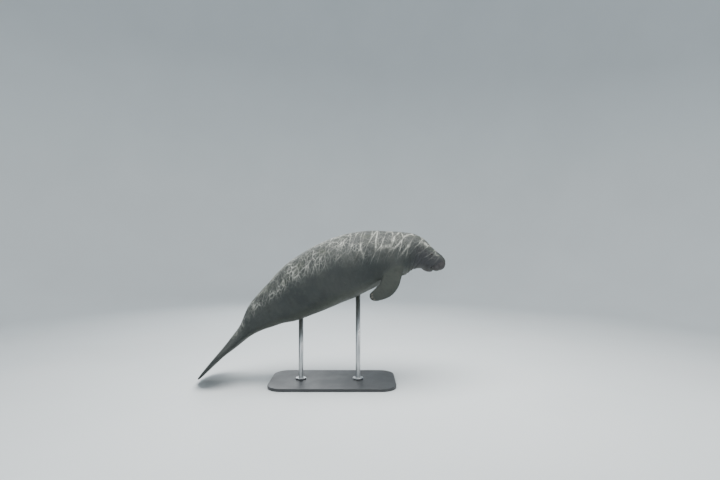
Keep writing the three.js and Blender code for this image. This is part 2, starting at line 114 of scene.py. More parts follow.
# The right flipper from inside the shoulder to its tip.
FLIPPER_COLUMNS = ("x", "y", "z", "wide", "thick")
FLIPPER = [
    (1.944, -0.150, 1.172, 0.150, 0.092),
    (1.930, -0.210, 1.108, 0.146, 0.084),  # shoulder
    (1.919, -0.244, 1.040, 0.150, 0.068),
    (1.892, -0.262, 0.975, 0.163, 0.054),  # elbow
    (1.844, -0.272, 0.912, 0.156, 0.043),  # wrist
    (1.771, -0.270, 0.868, 0.126, 0.033),
    (1.690, -0.260, 0.835, 0.098, 0.022),  # tip
]
FLIPPER_ROUND = 0.074  # the length of the rounded tip
SHOULDER = np.array([1.930, 0.0, 1.108])
LEFT_SWING = math.radians(11)  # the left flipper is swung this much further forward
ROOT_BLEND = 0.095  # how widely a flipper's root flows into the shoulder
LEADING_EDGE = 0.28  # how much thicker than the middle the leading edge is
NAILS = [(0.036, 0.64), (0.024, 0.12), (0.032, -0.42)]  # back from the tip, share across
NAIL_SIZE = (0.013, 0.0085, 0.005)

STREAK_LEAN = 0.55  # how far the painted pale streaks of caustic light on the neck lean back towards the belly

LEFT, RIGHT = 1, -1
SIDES = {"left": LEFT, "right": RIGHT}
TRUNK = ("tail_paddle", "tail_stock", "loin", "belly", "chest", "neck", "head", "lower_jaw")
FLESH = TRUNK + ("flipper_left", "flipper_right")

# The skin's mesh: the remesh's size, and the rings and sides of the shells it is made from.
VOXEL = 0.0079
BODY_RINGS, BODY_SIDES = 420, 160
LIMB_RINGS, LIMB_SIDES = 60, 56
# Where the skin is cut finer: this near the snout's tip and the flippers, where solid is less
# than this, this far ahead of the eyes' row, and this near the eyes, once and again.
FINE_FRONT, FINE_LIMB, FINE_SOLID = 0.56, 0.030, 0.90
FINE_FACE, FINE_EYE, FINEST_EYE = 0.035, 0.055, 0.046

# Hairs: length, radius, how far they stray and droop, and how many lengths each is made of.
BRISTLE = dict(length=(0.003, 0.0075), radius=(0.0003, 0.00045), stray=0.16, droop=0.55, steps=3)
BODY_HAIR = dict(length=(0.008, 0.018), radius=(0.00012, 0.00018), stray=0.08, droop=0.80, steps=4)
BRISTLES, BODY_HAIRS = 1100, 1800
HAIR_SINK = 0.0008  # how deep a hair's root lies in the skin
HAIR_PATCH = 0.003  # how wide a hair's patch of the skin's map is

# Lights: place, what they face, size, power and colour.
LIGHTS = {
    "overhead": ((0.5, -0.6, 5.0), (0.1, 0.0, 0.9), (4.5, 3.0), 500, (1.0, 0.99, 0.96)),
    "front_fill": ((-2.8, -5.6, 2.6), (0.0, 0.0, 0.9), (2.5, 2.5), 60, (0.93, 0.97, 1.0)),
    "head_side": ((5.2, -3.0, 3.0), (0.9, 0.0, 1.1), (2.0, 2.0), 85, (1.0, 0.98, 0.95)),
    "rear": ((-1.5, 5.2, 3.6), (0.0, 0.0, 1.0), (3.0, 2.0), 120, (0.95, 0.98, 1.0)),
}


def distances(rows):
    """How far along its line each row of places lies."""
    steps = np.linalg.norm(np.diff(np.array(rows, float), axis=0), axis=1)
    return np.concatenate([[0.0], np.cumsum(steps)])


def smooth(reach, values, s):
    """A smooth curve through values at the distances in reach, read at distances s."""
    spans = np.diff(reach)
    rises = np.diff(values) / spans
    inner = (rises[:-1] * spans[1:] + rises[1:] * spans[:-1]) / (spans[:-1] + spans[1:])
    slopes = np.concatenate([rises[:1], inner, rises[-1:]])
    k = np.clip(np.searchsorted(reach, s) - 1, 0, len(spans) - 1)
    t = (s - reach[k]) / spans[k]
    a, b = values[k], values[k + 1]
    m, n = slopes[k] * spans[k], slopes[k + 1] * spans[k]
    return a + t * (m + t * (3 * (b - a) - 2 * m - n + t * (2 * (a - b) + m + n)))


BODY = {name: np.array(column) for name, column in zip(COLUMNS, zip(*STATIONS))}
REACH = distances([(row[0], row[1]) for row in STATIONS])
LENGTH = REACH[-1]
LIMB = {name: np.array(column) for name, column in zip(FLIPPER_COLUMNS, zip(*FLIPPER))}
LIMB_REACH = distances([row[:3] for row in FLIPPER])
LIMB_LENGTH = LIMB_REACH[-1]


def along(column, s):
    return smooth(REACH, BODY[column], s)


def rounded(q, power):
    """The share of full size at share q of the way in from a rounded end."""
    inside = 1 - np.clip(q, 0, 1)
    return (1 - inside**power) ** (1 / power)


def bent(value, power):
    return np.sign(value) * np.abs(value) ** power


def mound(distance, width):
    """A smooth bump, 1 at distance 0 and gone by about twice the width."""
    return np.exp(-((distance / width) ** 2))


def ramp(value, low, high):
    """0 below low and 1 above high, or the other way round, with a smooth step between them."""
    t = np.clip((value - low) / (high - low), 0, 1)
    return t * t * (3 - 2 * t)


def fold_depth(s, angle):
    low = (1 - np.cos(angle)) / 2
    depth = 0.0
    for back, lean, deep, width in FOLDS:
        offset = s - (LENGTH - back) - lean * (low - 1)
        depth = depth + deep * (FOLD_TOP + (1 - FOLD_TOP) * low) * mound(offset, width)
    return depth


def section(s):
    """The body's section at distances s: its place, heading, middle, half sizes and power."""
    ahead, behind = np.minimum(s + 0.001, LENGTH), np.maximum(s - 0.001, 0)
    rise, run = along("z", ahead) - along("z", behind), along("x", ahead) - along("x", behind)
    heading = np.arctan2(rise, run)
    up, down = along("up", s), along("down", s)
    from_snout = (LENGTH - s) / SNOUT_ROUND
    high = (up + down) / 2 * rounded(s / PADDLE_EDGE, 2) * rounded(from_snout, SNOUT_POWER_UP)
    wide = along("width", s) / 2 * rounded(s / PADDLE_ROUND, PADDLE_POWER)
    wide = wide * rounded(from_snout, SNOUT_POWER_OUT)
    return dict(
        place=np.stack([along("x", s), np.zeros_like(s), along("z", s)], -1) + ORIGIN,
        forward=np.stack([np.cos(heading), np.zeros_like(s), np.sin(heading)], -1),
        upward=np.stack([-np.sin(heading), np.zeros_like(s), np.cos(heading)], -1),
        middle=(up - down) / 2,
        high=high,
        wide=wide,
        power=2 / along("square", s),
    )


def body_point(s, angle):
    """The skin at distances s and angles from the back, positive on the left."""
    cut = section(s)
    out = cut["wide"] * bent(np.sin(angle), cut["power"])
    rise = cut["middle"] + cut["high"] * bent(np.cos(angle), cut["power"])
    return cut["place"] + cut["upward"] * rise[..., None] + np.array([0, 1, 0]) * out[..., None]


def body_shares(cut, out, rise):
    """How far out and up places lie, as shares of a section of the body, bent to make it a circle."""
    across = bent(out / np.maximum(cut["wide"], THIN), 1 / cut["power"])
    above = bent((rise - cut["middle"]) / np.maximum(cut["high"], THIN), 1 / cut["power"])
    return across, above


def body_size(s, out, rise):
    """How large the body would have to be, as a share of its size, to reach places round its midline."""
    return np.hypot(*body_shares(section(np.clip(s, TIP_CUT, LENGTH - TIP_CUT)), out, rise))


def gap_outside(size_at, *where):
    """How far outside a form places lie: what their size has over 1, over how fast it grows."""
    step = 0.0005
    growth = 0.0
    for k in range(3):
        ahead = [value + step * (i == k) for i, value in enumerate(where)]
        behind = [value - step * (i == k) for i, value in enumerate(where)]
        growth = growth + ((size_at(*ahead) - size_at(*behind)) / (2 * step)) ** 2
    return (size_at(*where) - 1) / np.sqrt(np.maximum(growth, 1.0))


def body_coordinates(points):
    """For points near the body: distance along it, out, up off the midline, angle, and how far outside."""
    samples = np.linspace(0, LENGTH, 1200)
    middles = section(samples)["place"]
    tree = kdtree.KDTree(len(samples))
    for i, middle in enumerate(middles):
        tree.insert(middle, i)
    tree.balance()
    s = samples[np.array([tree.find(point)[1] for point in points])]
    for _ in range(2):
        cut = section(s)
        s = np.clip(s + np.sum((points - cut["place"]) * cut["forward"], 1), 0, LENGTH)
    cut = section(s)
    out = points[:, 1]
    rise = np.sum((points - cut["place"]) * cut["upward"], 1)
    across, above = body_shares(cut, out, rise)
    return s, out, rise, np.arctan2(across, above), gap_outside(body_size, s, out, rise)


def swung_forward(vectors):
    c, s = math.cos(LEFT_SWING), math.sin(LEFT_SWING)
    return vectors @ np.array([[c, 0, s], [0, 1, 0], [-s, 0, c]])


def limb_frame(s, side):
    """The flipper's line at distances s: place, the way it runs, the way through it, and its leading way."""
    mirror = np.array([1, -side, 1])

    def at(q):
        return np.stack([smooth(LIMB_REACH, LIMB[column], q) for column in "xyz"], -1)

    place = at(s)
    run = at(np.minimum(s + 0.002, LIMB_LENGTH)) - at(np.maximum(s - 0.002, 0))
    run /= np.linalg.norm(run, axis=-1, keepdims=True)
    through = np.array([0.0, -1.0, 0.0]) - run * (-run[..., 1:2])
    through /= np.linalg.norm(through, axis=-1, keepdims=True)
    leading = np.cross(through, run)
    ways = [run * mirror, through * mirror, leading * mirror]
    place = place * mirror
    if side == LEFT:
        place = swung_forward(place - SHOULDER) + SHOULDER
        ways = [swung_forward(way) for way in ways]
    return place + ORIGIN, *ways


def limb_sizes(s):
    end = (LIMB_LENGTH - s) / FLIPPER_ROUND
    wide = smooth(LIMB_REACH, LIMB["wide"], s) / 2 * rounded(end, 2.3)
    thick = smooth(LIMB_REACH, LIMB["thick"], s) / 2 * rounded(end * 2.5, 2)
    return wide, thick


def limb_point(s, angle, side):
    """A flipper's skin at distances s along it and angles from its leading edge."""
    place, _, through, leading = limb_frame(s, side)
    wide, thick = limb_sizes(s)
    lead = (wide * np.cos(angle))[..., None]
    deep = (thick * np.sin(angle) * (1 + LEADING_EDGE * np.cos(angle)))[..., None]
    return place + leading * lead + through * deep


def limb_shares(s, lead, deep):
    """How far towards its leading edge and through it places lie, as shares of a flipper's half sizes."""
    wide, thick = (np.maximum(size, THIN) for size in limb_sizes(s))
    thick = thick * (1 + LEADING_EDGE * np.clip(lead / wide, -1, 1))
    return lead / wide, deep / thick, wide


def limb_size(s, lead, deep):
    across, through, _ = limb_shares(np.clip(s, 0, LIMB_LENGTH - 0.001), lead, deep)
    return np.hypot(through, across)


def limb_coordinates(points, side):
    """Places' distance along a flipper, to its leading edge, through it, angle, and how far outside."""
    s = np.linspace(0, LIMB_LENGTH, 160)
    places = limb_frame(s, side)[0]
    s = s[np.argmin(np.linalg.norm(points[:, None] - places[None], axis=2), axis=1)]
    for _ in range(2):
        place, run, _, _ = limb_frame(s, side)
        s = np.clip(s + np.sum((points - place) * run, 1), 0, LIMB_LENGTH)
    place, run, through, leading = limb_frame(s, side)
    lead = np.sum((points - place) * leading, 1)
    deep = np.sum((points - place) * through, 1)
    across, inward, wide = limb_shares(s, lead, deep)
    # Beyond the thin tip the flipper's size says little, so how far off its line a place is also counts.
    reach = np.linalg.norm(points - place, axis=1)
    gap = np.maximum(gap_outside(limb_size, s, lead, deep), reach - wide)
    behind = -np.sum((points - place) * run, 1)
    gap = np.hypot(np.maximum(gap, 0), np.maximum(behind, 0)) + np.minimum(np.maximum(gap, behind), 0)
    return s, lead, deep, np.arctan2(inward, across), gap


HEAD_FORWARD = np.array([math.cos(HEAD_PITCH), 0, math.sin(HEAD_PITCH)])
HEAD_UP = np.array([-math.sin(HEAD_PITCH), 0, math.cos(HEAD_PITCH)])
HEAD_ORIGIN = ORIGIN + np.array([STATIONS[EYE_STATION][0], 0, STATIONS[EYE_STATION][1]])


def head_coordinates(points):
    """Forward, out and up of points in the head's own frame."""
    away = points - HEAD_ORIGIN
    return np.stack([away @ HEAD_FORWARD, points[:, 1], away @ HEAD_UP], 1)


def head_skin(forward, up, side):
    """The skin beside a place of the head, and the way that it faces."""
    s = np.array([REACH[EYE_STATION] + forward])
    cut = section(s)
    share = np.clip((up - cut["middle"]) / cut["high"], -1, 1)
    angle = side * np.arccos(bent(share, 1 / cut["power"]))
    return body_place_and_facing(s, angle)


def body_place_and_facing(s, angle):
    place = body_point(s, angle)[0]
    ahead = body_point(s + 0.002, angle)[0] - place
    around = body_point(s, angle + 0.02)[0] - place
    facing = np.cross(ahead, around)
    return place, facing / np.linalg.norm(facing)


def bulge_gap(head, bulge, side=1):
    """How far outside a stretched ball of the head some places of its frame lie."""
    forward, out, up = bulge["place"]
    away = head - np.array([forward, side * out, up])
    size = np.maximum(np.linalg.norm(away / np.array(bulge["size"]), axis=1), 0.05)
    return np.linalg.norm(away, axis=1) * (1 - 1 / size)


# Noise that is the same on every run.


def scatter(cells, seed):
    """A number from 0 to 1 for each lattice cell."""
    x, y, z = cells[..., 0], cells[..., 1], cells[..., 2]
    code = x * 73856093 ^ y * 19349663 ^ z * 83492791 ^ seed * 2654435761
    for _ in range(2):
        code = (code & 0xFFFFFFFF) ^ ((code & 0xFFFFFFFF) >> 16)
        code = code * 0x45D9F3B
    code = code & 0xFFFFFFFF
    return (code ^ (code >> 16)) / 0xFFFFFFFF


def noise(points, seed):
    """Smooth noise from about -1 to 1 of places given in lattice units."""
    cell = np.floor(points).astype(np.int64)
    local = points - cell
    ease = local**3 * (local * (local * 6 - 15) + 10)
    total = np.zeros(len(points))
    for corner in np.ndindex(2, 2, 2):
        node = cell + np.array(corner)
        turn = scatter(node, seed) * 2 * math.pi
        tilt = scatter(node, seed + 101) * 2 - 1
        flat = np.sqrt(1 - tilt * tilt)
        slope = np.stack([flat * np.cos(turn), flat * np.sin(turn), tilt], 1)
        weight = np.prod(np.where(corner, ease, 1 - ease), axis=1)
        total += weight * np.sum(slope * (local - np.array(corner)), axis=1)
    return total * 1.6


def creases(points, seed, width):
    """Thin winding lines where noise passes through 0: 1 on a line and 0 away from it."""
    return mound(noise(points, seed), width)


def beads(points, seed):
    """Round bumps, one to a lattice cell: 1 in the middle of each and 0 between them."""
    cell = np.floor(points).astype(np.int64)
    nearest = np.full(len(points), 9.0)
    for step in np.ndindex(3, 3, 3):
        node = cell + np.array(step) - 1
        jitter = np.stack([scatter(node, seed + k) for k in range(3)], 1)
        nearest = np.minimum(nearest, np.linalg.norm(node + 0.2 + 0.6 * jitter - points, axis=1))
    return 1 - np.clip(nearest / 0.75, 0, 1) ** 2


# Mesh helpers.


def new_object(name, verts, faces):
    mesh = bpy.data.meshes.new(name)
    mesh.from_pydata([tuple(v) for v in verts], [], [tuple(f) for f in faces])
    mesh.update()
    made = bpy.data.objects.new(name, mesh)
    bpy.context.scene.collection.objects.link(made)
    return made


def tube(rings):
    """A closed tube through rings of places, as vertices and faces, with a fan over each end."""
    count, sides = rings.shape[:2]
    verts = np.concatenate([rings.reshape(-1, 3), [rings[0].mean(0), rings[-1].mean(0)]])
    here = np.arange(sides)
    there = (here + 1) % sides
    faces = []
    for k in range(count - 1):
        low, high = k * sides, (k + 1) * sides
        faces += np.stack([low + here, low + there, high + there, high + here], 1).tolist()
    first, last = count * sides, (count - 1) * sides
    faces += [(first, int(b), int(a)) for a, b in zip(here, there)]
    faces += [(first + 1, last + int(a), last + int(b)) for a, b in zip(here, there)]
    return verts, faces


def ball(centre, size, axes, across=48, down=32):
    """A stretched ball as vertices and faces. axes are its three directions, one to a row."""
    tilt = np.linspace(0.02, math.pi - 0.02, down)
    turn = np.linspace(0, 2 * math.pi, across, endpoint=False)
    rings = np.stack(
        [
            np.sin(tilt)[:, None] * np.cos(turn),
            np.sin(tilt)[:, None] * np.sin(turn),
            np.broadcast_to(np.cos(tilt)[:, None], (down, across)),
        ],
        -1,
    )
    return tube((rings * np.array(size)) @ np.array(axes) + np.array(centre))


def joined(parts):
    """Several meshes, each given as vertices and faces, as one."""
    verts, faces, start = [], [], 0
    for some, those in parts:
        verts.append(some)
        faces += [[i + start for i in face] for face in those]
        start += len(some)
    return np.concatenate(verts), faces


def read(items, name, kind=float, width=1):
    """One property of all of a mesh's items, as an array, with a row to each if it is wider than one."""
    found = np.empty(len(items) * width, kind)
    items.foreach_get(name, found)
    return found.reshape(-1, width) if width > 1 else found


def places_of(mesh):
    return read(mesh.vertices, "co", float, 3)


def set_places(mesh, points):
    mesh.vertices.foreach_set("co", points.astype(np.float32).ravel())
    mesh.update()


def normals_of(mesh):
    return read(mesh.vertex_normals, "vector", np.float32, 3).astype(float)


def edges_of(mesh):
    return read(mesh.edges, "vertices", np.int64, 2)


def relaxed(points, edges, rounds, share=1.0, steps=(0.5, -0.53)):
    """Evens out a mesh. The usual pair of steps keeps its size, and a single step fills creases."""
    share = np.broadcast_to(share, len(points))
    edges = edges[share[edges].max(axis=1) > 0]
    a, b = edges.T
    count = len(points)
    degree = np.maximum(np.bincount(edges.ravel(), minlength=count), 1)[:, None]
    share = share[:, None]
    for _ in range(rounds):
        for step in steps:
            sums = [np.bincount(a, row[b], count) + np.bincount(b, row[a], count) for row in points.T]
            points = points + step * share * (np.stack(sums, 1) / degree - points)
    return points


def shade_smooth(piece):
    piece.data.polygons.foreach_set("use_smooth", np.ones(len(piece.data.polygons), bool))


# The skin: the body, flippers, lips and chin made one by a remesh, then folded and wrinkled.


def eased_places():
    """Distances for the body's rings, closer together towards both rounded ends."""
    trunk = np.linspace(PADDLE_ROUND * 0.5, LENGTH - SNOUT_ROUND, BODY_RINGS)
    tail = PADDLE_ROUND * 0.5 * (1 - np.cos(np.linspace(0.06, math.pi / 2, 60)))[:-1]
    snout = LENGTH - SNOUT_ROUND * (1 - np.sin(np.linspace(0, math.pi / 2 - 0.06, 28)))[1:]
    return np.concatenate([np.maximum(tail, TIP_CUT), trunk, np.minimum(snout, LENGTH - TIP_CUT)])


def shell(point_at, s, sides, turning, *where):
    """A closed tube of the skin of the body or a flipper, with a ring at each distance s."""
    turn = np.linspace(0, turning * 2 * math.pi, sides, endpoint=False)
    rings = point_at(np.repeat(s, sides), np.tile(turn, len(s)), *where)
    return tube(rings.reshape(len(s), sides, 3))


def bulge_ball(bulge, side):
    forward, out, up = bulge["place"]
    centre = HEAD_ORIGIN + HEAD_FORWARD * forward + HEAD_UP * up + np.array([0, side * out, 0])
    return ball(centre, bulge["size"], [HEAD_FORWARD, (0, 1, 0), HEAD_UP])


def flesh_shell():
    """The body, flippers, lips and chin as closed shells that pass into each other."""
    parts = [shell(body_point, eased_places(), BODY_SIDES, -1)]
    tip = FLIPPER_ROUND * (1 - np.sin(np.linspace(0.05, math.pi / 2 - 0.04, 24)))
    limb = np.concatenate([np.linspace(0, LIMB_LENGTH - FLIPPER_ROUND, LIMB_RINGS), LIMB_LENGTH - tip])
    for side in SIDES.values():
        parts.append(shell(limb_point, limb, LIMB_SIDES, -side, side))
        parts += [bulge_ball(bulge, side) for bulge in (LIP_PAD, LIP_DROOP)]
    parts.append(bulge_ball(CHIN, 0))
    return joined(parts)


def remeshed(name, verts, faces):
    rough = new_object(name + "_rough", verts, faces)
    modifier = rough.modifiers.new("one_surface", "REMESH")
    modifier.mode = "VOXEL"
    modifier.voxel_size = VOXEL
    view = rough.evaluated_get(bpy.context.evaluated_depsgraph_get())
    mesh = bpy.data.meshes.new_from_object(view)
    mesh.name = name
    made = bpy.data.objects.new(name, mesh)
    bpy.context.scene.collection.objects.link(made)
    bpy.data.objects.remove(rough)
    return made


def divided(mesh, wanted):
    """Cuts each face whose corners are all wanted into four."""
    work = bmesh.new()
    work.from_mesh(mesh)
    edges = set()
    for face in work.faces:
        if all(wanted[v.index] for v in face.verts):
            edges.update(face.edges)
    bmesh.ops.subdivide_edges(work, edges=list(edges), cuts=1, use_grid_fill=True)
    work.to_mesh(mesh)
    work.free()
    mesh.update()


class Places:
    """Where each vertex of the skin lies, in the coordinates of the body, the head and the flippers."""

    def __init__(self, points):
        self.points = points
        self.s, self.out, self.rise, self.angle, self.gap = body_coordinates(points)
        self.head = head_coordinates(points)
        self.limbs = {}
        self.on_limb = np.zeros(len(points), int)
        self.limb_gap = np.full(len(points), 1.0)
        for side in SIDES.values():
            middle = limb_frame(np.array([LIMB_LENGTH * 0.5]), side)[0][0]
            near = np.flatnonzero(np.linalg.norm(points - middle, axis=1) < 0.34)
            found = limb_coordinates(points[near], side)
            self.limbs[side] = (near, found)
            self.limb_gap[near] = found[4]
            inside = found[4] < self.gap[near]
            self.on_limb[near[inside]] = side
        self.lips = np.full(len(points), 1.0)
        for side in SIDES.values():
            for bulge in (LIP_PAD, LIP_DROOP):
                self.lips = np.minimum(self.lips, bulge_gap(self.head, bulge, side))
        self.chin = bulge_gap(self.head, CHIN)
        # 0 where a flipper meets the body, and 1 away from there.
        self.apart = ramp(np.abs(self.gap - self.limb_gap), 0.004, 0.030)
        self.trunk = ramp(self.limb_gap - self.gap, 0.0, 0.060)
        # Low on the thin rims of the paddle and flippers, and 1 away from there.
        cut = section(self.s)
        share = np.clip(np.abs(self.out) / np.maximum(cut["wide"], THIN), 0, 1)
        thickness = cut["high"] * (1 - share**3) ** (1 / 3)
        self.solid = np.where(self.on_limb == 0, ramp(thickness, 0.006, 0.022), 1.0)
        for side, (near, found) in self.limbs.items():
            edge = ramp(np.abs(np.cos(found[3])), 0.55, 0.90)
            mine = self.on_limb[near] == side
            self.solid[near[mine]] = 1 - 0.9 * edge[mine]

    def lattice(self, length, across):
        """Coordinates for noise stretched by one size along the body or flipper and by another across."""
        places = np.stack([self.s / length, self.out / across, self.rise / across], 1)
        for side, (near, (s, lead, deep, _, _)) in self.limbs.items():
            mine = self.on_limb[near] == side
            rows = np.stack([s / length, lead / across, deep / across], 1) + 9.0 * side
            places[near[mine]] = rows[mine]
        return places


def polyline_distance(points, corners):
    """How far points of a plane are from a bent line."""
    best = np.full(len(points), 9.0)
    for a, b in zip(corners[:-1], corners[1:]):
        a, b = np.array(a), np.array(b)
        share = np.clip(((points - a) @ (b - a)) / ((b - a) @ (b - a)), 0, 1)
        best = np.minimum(best, np.linalg.norm(points - a - share[:, None] * (b - a), axis=1))
    return best


def large_forms(at):
    """Outward moves for what shows from a step away: neck rings, mouth and the cleft of the lips."""
    forward, out, up = at.head.T
    wander = 0.007 * noise(at.points / 0.11, 11)
    move = -0.9 * fold_depth(at.s + wander, at.angle) * at.trunk
    move += 0.003 * noise(at.points / 0.16, 12) * at.trunk * ramp(at.s, 0.35, 0.8)
    # The lips' lower edge over the jaw is the mouth, and their upper edge a shallow crease in the cheek.
    rest = np.minimum(at.gap, at.chin)
    edge = at.lips - rest
    under = ramp(up, -0.018, -0.040)
    front = ramp(forward, 0.215, 0.19)
    move -= 0.0075 * mound(edge, 0.0042) * under
    move -= 0.0030 * mound(edge, 0.0070) * (1 - under) * ramp(up, 0.045, 0.015) * ramp(forward, 0.19, 0.15)
    corner = polyline_distance(at.head[:, [0, 2]], MOUTH_CORNER)
    beside = ramp(np.abs(out), 0.045, 0.07)
    move -= 0.0065 * mound(corner, 0.0048) * beside * ramp(at.lips, 0.0, 0.006)
    # The cleft between the two halves of the upper lip.
    cleft = ramp(forward, 0.150, 0.185) * ramp(up, 0.030, 0.0) * ramp(up, -0.075, -0.055)
    move -= 0.0080 * mound(out, 0.0065) * cleft * front
    return move


def around(points, place, facing, towards):
    """Flat coordinates of points round a place on the skin: along towards, beside it, and their radius."""
    ahead = towards - facing * (towards @ facing)
    ahead /= np.linalg.norm(ahead)
    beside = np.cross(facing, ahead)
    away = points - place
    u, v = away @ ahead, away @ beside
    return u, v, np.hypot(u, v), away @ facing


def eye_forms(at):
    """The sunk eye: a thick ring of lid, rings of fold outside it, and fine creases that run out from it."""
    move = np.zeros(len(at.points))
    hole = np.zeros(len(at.points))
    for side in SIDES.values():
        place, facing = head_skin(*EYE_PLACE, side)
        u, v, radius, depth = around(at.points, place, facing, HEAD_FORWARD)
        near = ramp(radius, 0.075, 0.045) * (np.abs(depth) < 0.05)
        turn = np.arctan2(v, u)
        ring = np.stack([np.cos(turn) * 1.3, np.sin(turn) * 1.3, radius * 55 + side], 1)
        r = np.hypot(u / 1.16, v) + 0.0030 * noise(ring, 21) * ramp(radius, 0.010, 0.022)
        broken = 0.35 + 0.65 * ramp(noise(ring * 1.4 + 5, 23), -0.35, 0.25)
        opening = (np.abs(u) / 0.0092) ** 1.7 + (np.abs(v) / 0.0066) ** 1.7
        lid = 0.0042 * mound(r - 0.0112, 0.0040) + 0.0030 * mound(r, 0.034)
        lid -= 0.0020 * mound(r - 0.0172, 0.0019)
        lid += 0.0013 * mound(r - 0.0222, 0.0034)
        lid -= 0.0015 * mound(r - 0.0278, 0.0017) * broken
        lid -= 0.0011 * mound(r - 0.0372, 0.0020) * (1.35 - broken)
        # Creases run out from the corners of the lids, most of them behind the eye.
        rays = np.sin(turn * 15 + 4.5 * noise(np.stack([turn * 1.6, radius * 45, turn * 0 + side], 1), 22))
        reach = ramp(radius, 0.011, 0.017) * ramp(radius, 0.052, 0.024)
        lid -= 0.0011 * mound(rays - 1, 0.30) * reach * (0.55 + 0.45 * ramp(-u, -0.01, 0.01))
        sunk = ramp(opening, 1.15, 0.75)
        lid = lid * (1 - sunk) - 0.0085 * sunk
        move += lid * near
        hole = np.maximum(hole, ramp(opening, 1.9, 1.0) * near)
    return move, hole


def nostril_forms(at):
    """A low round valve on the top of the snout for each nostril, shut to a crescent."""
    move = np.zeros(len(at.points))
    slit = np.zeros(len(at.points))
    for side in SIDES.values():
        s = np.array([LENGTH - NOSTRIL_BACK])
        place, facing = body_place_and_facing(s, np.array([side * NOSTRIL_ANGLE]))
        u, v, radius, depth = around(at.points, place, facing, np.array([1.0, 0, 0]))
        near = ramp(radius, 0.045, 0.030) * (np.abs(depth) < 0.04)
        turn = np.arctan2(v * side, u)
        arc = ramp(np.abs(turn + 0.05), 1.95, 1.55)
        line = mound(radius - 0.0130 - 0.0012 * np.cos(2 * turn), 0.0022) * arc
        rim = 0.0042 * ramp(radius, 0.027, 0.016) + 0.0013 * mound(radius - 0.0185, 0.0030) * arc
        move += (rim + 0.0012 * mound(radius, 0.008) - 0.0070 * line) * near
        slit = np.maximum(slit, line * near)
    return move, slit


def wrinkles(at):
    """Fine wrinkles: how far they move the skin, and how deep in a crease each vertex lies, from 0 to 1."""
    forward, out, up = at.head.T
    trunk = 1.0 * (at.on_limb == 0)
    belly = (1 - np.cos(at.angle)) / 2
    from_snout = LENGTH - at.s
    warp = 0.25 * noise(at.lattice(0.06, 0.06), 31)
    broad = creases(at.lattice(0.038, 0.200) + warp[:, None], 32, 0.15)
    loose = creases(at.lattice(0.050, 0.060) + warp[:, None], 34, 0.13)
    rings = creases(at.lattice(0.021, 0.115) + warp[:, None], 42, 0.13)
    fine = creases(at.lattice(0.013, 0.040) + warp[:, None], 33, 0.16)
    net = creases(at.lattice(0.030, 0.034) + warp[:, None], 44, 0.11)
    general = 0.35 + 0.65 * ramp(noise(at.lattice(0.22, 0.22), 35), -0.3, 0.5)
    paddle = ramp(at.s, 0.62, 0.30) * trunk
    front = ramp(from_snout, 0.72, 0.64) * trunk
    neck = front * ramp(from_snout, 0.20, 0.30)
    on_head = ramp(from_snout, 0.30, 0.22) * trunk
    limb = 1 - trunk
    depth = (
        (0.0014 * broad + 0.0009 * loose) * general * (1 - 0.6 * paddle) * (1 - front) * trunk
        + rings * (0.0010 * general * front + 0.0016 * neck * (0.35 + 0.65 * belly) + 0.0008 * limb)
        + fine * (0.0009 * front + 0.0002 * on_head + 0.0006 * limb)
        + net * (0.0006 * general * (front - neck) + 0.0004 * on_head)
    )
    depth *= at.apart * at.solid
    # Creases across the top of the snout behind the nostrils.
    bridge = ramp(forward, 0.030, 0.060) * ramp(forward, 0.165, 0.135) * ramp(up, 0.020, 0.050)
    bands = mound(np.sin((forward + 0.25 * out * out / 0.1 + 0.006 * warp) * 2 * math.pi / 0.021), 0.32)
    depth += 0.0013 * bands * bridge * (0.6 + 0.4 * general)
    # Creases that run down the cheek behind the mouth, and along the pads of the lip.
    cheek = mound(forward - 0.035, 0.040) * ramp(up, 0.020, -0.015) * ramp(np.abs(out), 0.05, 0.09)
    depth += 0.0016 * cheek * creases(at.lattice(0.017, 0.090) + 7, 36, 0.16)
    pads = ramp(at.lips, 0.006, 0.001) * ramp(forward, 0.035, 0.060)
    depth += 0.0010 * pads * creases(at.lattice(0.018, 0.050) + 11, 37, 0.16)
    # Rings of crease round the root of each flipper.
    for side in SIDES.values():
        root = limb_frame(np.array([0.12]), side)[0][0]
        away = np.linalg.norm(at.points - root, axis=1) + 0.016 * noise(at.points / 0.07, 38)
        band = mound(np.sin(away * math.pi / 0.021), 0.30) * ramp(away, 0.070, 0.100) * ramp(away, 0.20, 0.12)
        band *= 0.3 + 0.7 * ramp(noise(at.points / 0.045, 39), -0.2, 0.3)
        behind = ramp((at.points - root)[:, 0], 0.03, -0.04)
        depth += 0.0015 * band * (at.out * side > 0) * (0.35 + 0.65 * behind)
    # How deep in a crease each vertex lies; the skin's colour is darkened with it as painted shade.
    painted_light_mask = np.clip(depth / 0.0022, 0, 1)
    return -depth, painted_light_mask


def bristle_ground(at):
    """Where the muzzle carries bristles, from 0 to 1: the lips, the chin and the snout below the nostrils."""
    forward, out, up = at.head.T
    lips = ramp(at.lips, 0.006, 0.0) * ramp(forward, 0.045, 0.075)
    chin = ramp(at.chin, 0.006, 0.0) * ramp(up, -0.075, -0.090) * ramp(forward, 0.0, 0.03)
    snout = ramp(forward, 0.150, 0.175) * ramp(up, 0.072, 0.055)
    return np.clip(np.maximum(np.maximum(lips, chin), snout), 0, 1)


def nail_places(side):
    """For each nail of a flipper: its place on the skin and its three directions."""
    for back, across in NAILS:
        s = np.array([LIMB_LENGTH - back])
        angle = np.array([math.acos(across)])
        place = limb_point(s, angle, side)[0]
        ahead = place - limb_point(s - 0.006, angle, side)[0]
        aside = limb_point(s, angle + 0.1, side)[0] - place
        ahead /= np.linalg.norm(ahead)
        facing = np.cross(ahead, aside)
        facing /= np.linalg.norm(facing)
        if facing[1] * side < 0:
            facing = -facing
        yield place, (ahead, np.cross(facing, ahead), facing)


